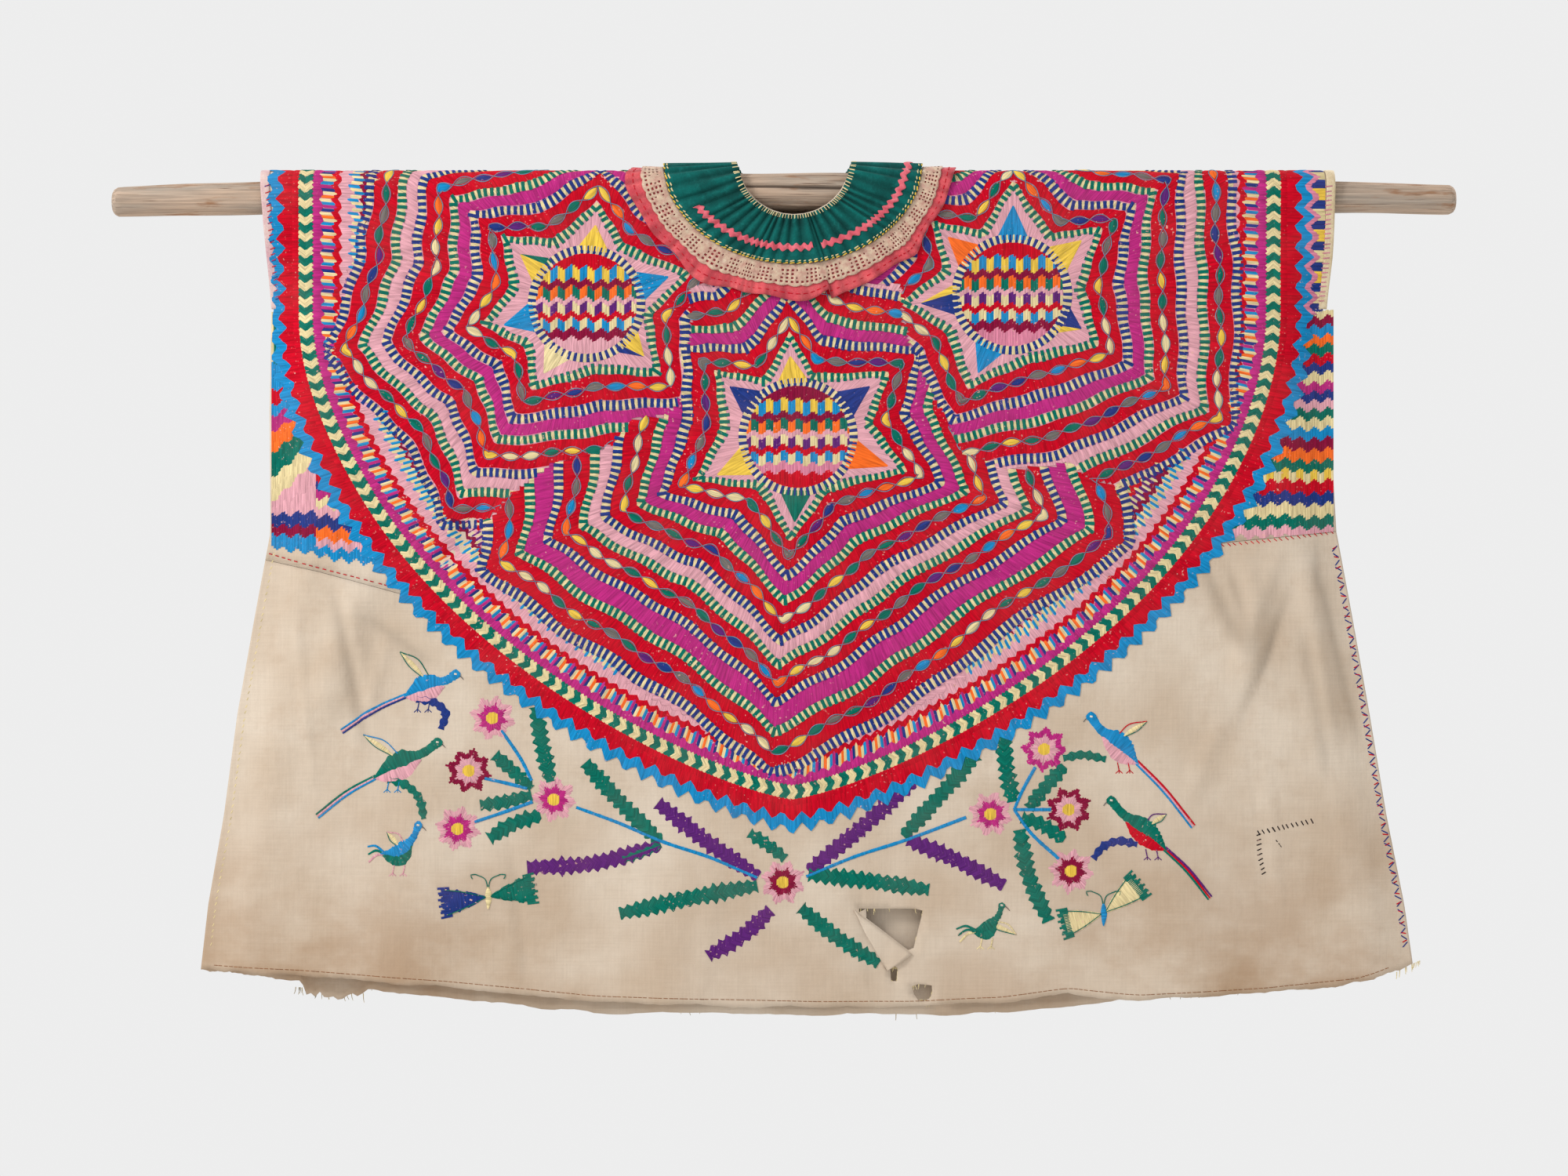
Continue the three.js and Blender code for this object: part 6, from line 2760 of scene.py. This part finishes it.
        # painted shade in the valleys of the ruffle, and a painted shadow beside the overlap of the sewn
        # ends
        crest = mix(1.0, self.wave(turn, self.waves * 2) ** 0.6, 0.8 * np.clip(share, 0, 1))
        crest = crest * (1 - self.pleat_shade * self.beside_overlap(turn, False, self.overlap_reach / 6))
        piece = cloth_wall("coral_ruffle", x, v, base, base + self.sheet, self.finishes.coral, closed=True,
                           crest=crest)
        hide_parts("collar_ruffle_coral")
        return piece

    def lace(self) -> Piece:
        """Makes the lace edging on the ruffle.

        Returns:
            The new object.
        """
        rows = np.arange(self.lace_rows)[:, None]
        turn = rows / self.lace_rows
        end = (LACE_EDGE.front - GREEN_EDGE.front) / (CORAL_EDGE.front - GREEN_EDGE.front)
        columns = np.arange(self.lace_columns)[None, :]
        share = self.lace_start + (end - self.lace_start) * columns / (self.lace_columns - 1)
        turn, share = np.broadcast_arrays(turn, share)
        scallop = self.scallop * np.abs(np.sin(np.pi * rows / self.scallop_rows))
        scallop = scallop * (columns == self.lace_columns - 1)
        x, v = self.ring_place(GREEN_EDGE, CORAL_EDGE, self.angle(turn), self.uneven(turn, share + scallop))
        base = self.coral_base(turn, share) + self.trim + self.lay_gap - 0.4
        cells = columns[:, :-1]
        blossom = np.hypot((rows % 20 - 9.5) * 0.9, (cells - 5) * 1.8) < 4.6
        net = (rows % 4 < 2) & (cells % 2 == 1) & (cells > 1)
        # crest gives painted shade in the valleys of the lace's waves
        piece = cloth_wall("lace_edging", x, v, base, base + self.lace_sheet, self.finishes.lace,
                           closed=True, kept=~(net & ~blossom),
                           crest=mix(1.0, self.wave(turn, self.waves * 2), 0.35))
        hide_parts("collar_lace")
        return piece

    def rickrack(self, name: str, first: float, last: float, replaced: str) -> Piece:
        """Makes one strand of rickrack from one column of gathers to another.

        Args:
            name: Name of the piece.
            first: Where it starts round the neck.
            last: Where it ends.
            replaced: Node of the solids that it takes the place of.

        Returns:
            The new object.
        """
        steps = int((last - first) * 6)
        turn = (np.linspace(first, last, steps) / (self.gathers * 4))[:, None]
        across = np.linspace(-1, 1, 6)[None, :] * self.braid_half
        angle = self.angle(turn)
        turns = np.linspace(first, last, steps) * np.pi * self.braid_turns
        swing = self.braid_swing * np.sin(turns)[:, None]
        front = np.sin(angle) > 0
        reach = np.where(front, GREEN_EDGE.front - NECK.front, GREEN_EDGE.back - NECK.back)
        lowest = np.where(front, RICKRACK_LINE.front - NECK.front, RICKRACK_LINE.back - NECK.back) / reach
        middle = (RICKRACK_LINE.half_width - NECK.half_width) / (GREEN_EDGE.half_width - NECK.half_width)
        bend = np.abs(np.sin(angle))
        span = mix(GREEN_EDGE.half_width - NECK.half_width, reach, bend)
        share = mix(middle, lowest, bend) + (swing + across) / span
        turn, share = np.broadcast_arrays(turn, share)
        x, v = self.ring_place(NECK, GREEN_EDGE, self.angle(turn), share)
        base = self.green_base(turn, share) + self.stitch_top
        crown = base + 0.5 + 0.6 * np.cos(across / self.braid_half * np.pi / 2.2)
        piece = cloth_wall(name, x, v, base, crown, self.finishes.braid)
        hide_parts(replaced)
        return piece

    def hand_stitches(self) -> Piece:
        """Sews the cream overcast round the neck and the running stitch near the ruffle's edge.

        Returns:
            The new object.
        """
        work = Needlework(None, 7)
        turn = np.arange(0, 1, self.neck_stitch_turn)
        ends = [self.ring_place(NECK, GREEN_EDGE, self.angle(turn), share) for share in (0.02, 0.1)]
        work.stitches(ends[0], ends[1], 1.0, self.green_base(turn, 0.06) + self.stitch_top, CREAM)
        step = self.neck_stitch_turn
        ends = [self.ring_place(GREEN_EDGE, CORAL_EDGE, self.angle(t), self.uneven(t, self.hem_stitch_share))
                for t in (turn, turn + step * 0.62)]
        base = self.coral_base(turn + step * 0.3, self.hem_stitch_share)
        work.stitches(ends[0], ends[1], 0.8, base + self.stitch_top, CRIMSON)
        for share, thread in ((0.95, CREAM), (0.99, YELLOW)):
            ends = [self.ring_place(NECK, GREEN_EDGE, self.angle(t), s)
                    for t, s in ((turn, share), (turn + step * 0.7, share + 0.015))]
            work.stitches(ends[0], ends[1], 1.1, self.green_base(turn + step * 0.3, share) + 0.95, thread)
        piece = work.piece("collar_hand_stitches", self.finishes.floss)
        return piece

    def build(self) -> dict[str, Piece]:
        """Makes the whole collar, by name.

        Returns:
            The pieces by name.
        """
        return {
            "stitches": self.hand_stitches(),
            "green": self.green(),
            "coral": self.coral(),
            "lace": self.lace(),
            "braid_right": self.rickrack("rickrack_over_right_shoulder", *self.right_braid,
                                         "rickrack_right"),
            "braid_left": self.rickrack("rickrack_at_left", *self.left_braid, "rickrack_left"),
        }


@dataclass
class Pole:
    """The peeled wooden pole, thickest in the middle, with checks and one long drying crack."""

    finishes: Finishes
    length: float = 1205.0
    middle_radius: float = 16.8
    end_radius: float = 13.0
    left_drop: float = 9.0
    right_drop: float = 7.0
    chamfer: float = 5.0
    around: int = 64
    stations: int = 240
    crack_angle: float = -1.75
    crack_depth: float = 2.2
    crack_start: float = -190
    crack_end: float = 430
    crack_fade: float = 60
    end_rounding: float = 2.2
    worn_end: float = 10

    def build(self) -> Piece:
        """Makes the pole with its relief and stores where its crack runs.

        Returns:
            The new object.
        """
        half = self.length / 2
        x = np.concatenate([
            [-half, -half + 0.4, -half + 1.8],
            np.linspace(-half + self.chamfer, half - self.chamfer, self.stations),
            [half - 1.8, half - 0.4, half],
        ])
        radius = self.end_radius + (self.middle_radius - self.end_radius) * (1 - (x / half) ** 2)
        from_end = half - np.abs(x)
        rounded = (1 - np.clip(from_end / self.chamfer, 0, 1)) ** self.end_rounding
        radius = radius - self.chamfer * rounded * 0.9
        angle = np.linspace(-np.pi, np.pi, self.around, endpoint=False)
        turn, place = np.meshgrid(angle, x)
        ridges = 0.22 * np.sin(9 * turn + place / 55) + 0.18 * np.sin(17 * turn - place / 38 + 1)
        bumps = 0.35 * np.sin(place / 47 + 2 * turn) + 0.25 * np.sin(place / 19 + 3 * turn + 2)
        line = self.crack_angle + 0.05 * np.sin(x / 60)[:, None]
        width = 0.055 + 0.02 * np.sin(x / 23)[:, None]
        away = np.abs((turn - line + np.pi) % (2 * np.pi) - np.pi)
        runs = smoothstep(x - self.crack_start, 0, self.crack_fade)
        runs = runs * smoothstep(self.crack_end - x, 0, self.crack_fade)
        crack = np.exp(-(away / width) ** 2) * runs[:, None]
        reach = radius[:, None] + (ridges + bumps) * np.minimum(from_end / self.worn_end, 1)[:, None]
        reach = reach - self.crack_depth * crack
        drop = np.where(x < 0, self.left_drop, self.right_drop) * (x / half) ** 2
        turned = turn + np.pi / 2 + np.pi
        points = np.stack([place, reach * np.cos(turned), reach * np.sin(turned) - drop[:, None]], axis=-1)
        quads = self.skin(len(x))
        ends = np.array([[-half, 0, -self.left_drop], [half, 0, -self.right_drop]])
        cap = []
        last = (len(x) - 1) * self.around
        count = len(x) * self.around
        for i in range(self.around):
            j = (i + 1) % self.around
            cap.append([i, j, count, count])
            cap.append([last + j, last + i, count + 1, count + 1])
        all_points = np.concatenate([points.reshape(-1, 3), ends])
        piece = self.as_piece(all_points, quads, np.array(cap)[:, :3])
        groove = piece.data.attributes.new("groove", "FLOAT", "POINT")
        values = np.concatenate([np.clip(crack * 1.3, 0, 1).ravel(), [0, 0]])
        groove.data.foreach_set("value", values.astype(np.float32))
        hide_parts("pole")
        return piece

    def skin(self, rows: int) -> Array:
        """Quads round the pole.

        Args:
            rows: Number of rings of points.

        Returns:
            Four point numbers for each face.
        """
        i = np.arange(rows - 1)[:, None]
        j = np.arange(self.around)[None, :]
        k = (j + 1) % self.around
        a = i * self.around
        return np.stack([a + j, a + self.around + j, a + self.around + k, a + k], axis=-1).reshape(-1, 4)

    def as_piece(self, points: Array, quads: Array, triangles: Array) -> Piece:
        """Makes the mesh from its skin and its end faces.

        Args:
            points: Points in millimetres.
            quads: Four point numbers for each face.
            triangles: Three point numbers for each end face.

        Returns:
            The new object.
        """
        mesh = bpy.data.meshes.new("weathered_pole")
        faces = [tuple(q) for q in quads.tolist()] + [tuple(t) for t in triangles.tolist()]
        mesh.from_pydata((points * MM).tolist(), [], faces)
        mesh.polygons.foreach_set("use_smooth", np.ones(len(faces), bool))
        mesh.update()
        mesh.materials.append(self.finishes.wood)
        piece = bpy.data.objects.new("weathered_pole", mesh)
        bpy.context.scene.collection.objects.link(piece)
        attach(piece, "root")
        return piece


# Stage


@dataclass(frozen=True)
class Studio:
    """Plain pale floor, soft light and the camera at the photograph's angle."""

    focal: float = 85.0
    sensor: float = 36.0
    frame_width: float = 1.4
    frame_middle: float = -0.3556
    front: float = 0.02
    floor_height: float = -1.2
    floor_half: float = 1.7
    sky: float = 0.85
    key: Point = (-2.3, -1.7, 1.3)
    fill: Point = (2.3, 1.7, 1.3)
    light_size: float = 0.9
    light_power: float = 62.0

    def build(self) -> None:
        """Sets up the floor, the lights, the world and the camera."""
        scene = bpy.context.scene
        scene.view_settings.view_transform = "Standard"
        world = bpy.data.worlds.new("studio")
        scene.world = world
        world.use_nodes = True
        background = world.node_tree.nodes["Background"]
        background.inputs["Color"].default_value = (1.0, 1.0, 1.0, 1.0)
        background.inputs["Strength"].default_value = self.sky
        self.floor()
        self.light("soft_key", self.key)
        self.light("soft_fill", self.fill)
        distance = self.frame_width * self.focal / self.sensor
        lens = bpy.data.cameras.new("camera")
        lens.lens = self.focal
        lens.sensor_width = self.sensor
        camera = bpy.data.objects.new("camera", lens)
        camera.location = (0, -distance - self.front, self.frame_middle)
        camera.rotation_euler = (math.pi / 2, 0, 0)
        scene.collection.objects.link(camera)
        scene.camera = camera

    def floor(self) -> None:
        """Lays the plain floor."""
        half, z = self.floor_half, self.floor_height
        mesh = bpy.data.meshes.new("floor")
        corners = [(-half, -half, z), (half, -half, z), (half, half, z), (-half, half, z)]
        mesh.from_pydata(corners, [], [(0, 1, 2, 3)])
        mesh.materials.append(PaintedFloor("matt_floor_paint", sheen=0.0).material())
        floor = bpy.data.objects.new("floor", mesh)
        bpy.context.scene.collection.objects.link(floor)

    def light(self, name: str, place: Point) -> None:
        """Adds a large soft light aimed at the blouse.

        Args:
            name: Name of the light.
            place: Where it stands, in metres.
        """
        lamp = bpy.data.lights.new(name, "AREA")
        lamp.shape = "DISK"
        lamp.size = self.light_size
        lamp.energy = self.light_power
        light = bpy.data.objects.new(name, lamp)
        light.location = place
        aim = np.array([0, 0, self.frame_middle]) - np.array(place)
        flat = math.hypot(aim[0], aim[1])
        turn = math.atan2(aim[1], aim[0]) - math.pi / 2
        light.rotation_euler = (math.pi / 2 + math.atan2(aim[2], flat), 0, turn)
        bpy.context.scene.collection.objects.link(light)


def main() -> None:
    """Builds the part, piece by piece."""
    logging.basicConfig(level=logging.INFO, format="%(message)s")
    finishes = Finishes()
    Studio().build()
    pole = Pole(finishes).build()
    LOG.info("pole: %s", pole.name)
    cloth = Blouse(finishes).build()
    LOG.info("blouse: %s", ", ".join(p.name for p in cloth.values()))
    collar = Collar(finishes).build()
    LOG.info("collar: %s", ", ".join(p.name for p in collar.values()))
    threads = {Side.FRONT: [], Side.BACK: []}
    for side in Side:
        ground = EmbroideredGround(side)
        threads[side].append(ground.ground(finishes.floss))
        threads[side].extend(ground.stars(finishes.floss))
        threads[side].append(Border(side).build(finishes.floss))
        threads[side].append(SidePanels(side).build(finishes.floss))
        HemMotifs(side).build(finishes.floss)
        HandSewing(side).build(finishes.floss)
        LOG.info("embroidery: %s", ", ".join(p.name for p in threads[side]))


if __name__ == "__main__":
    main()
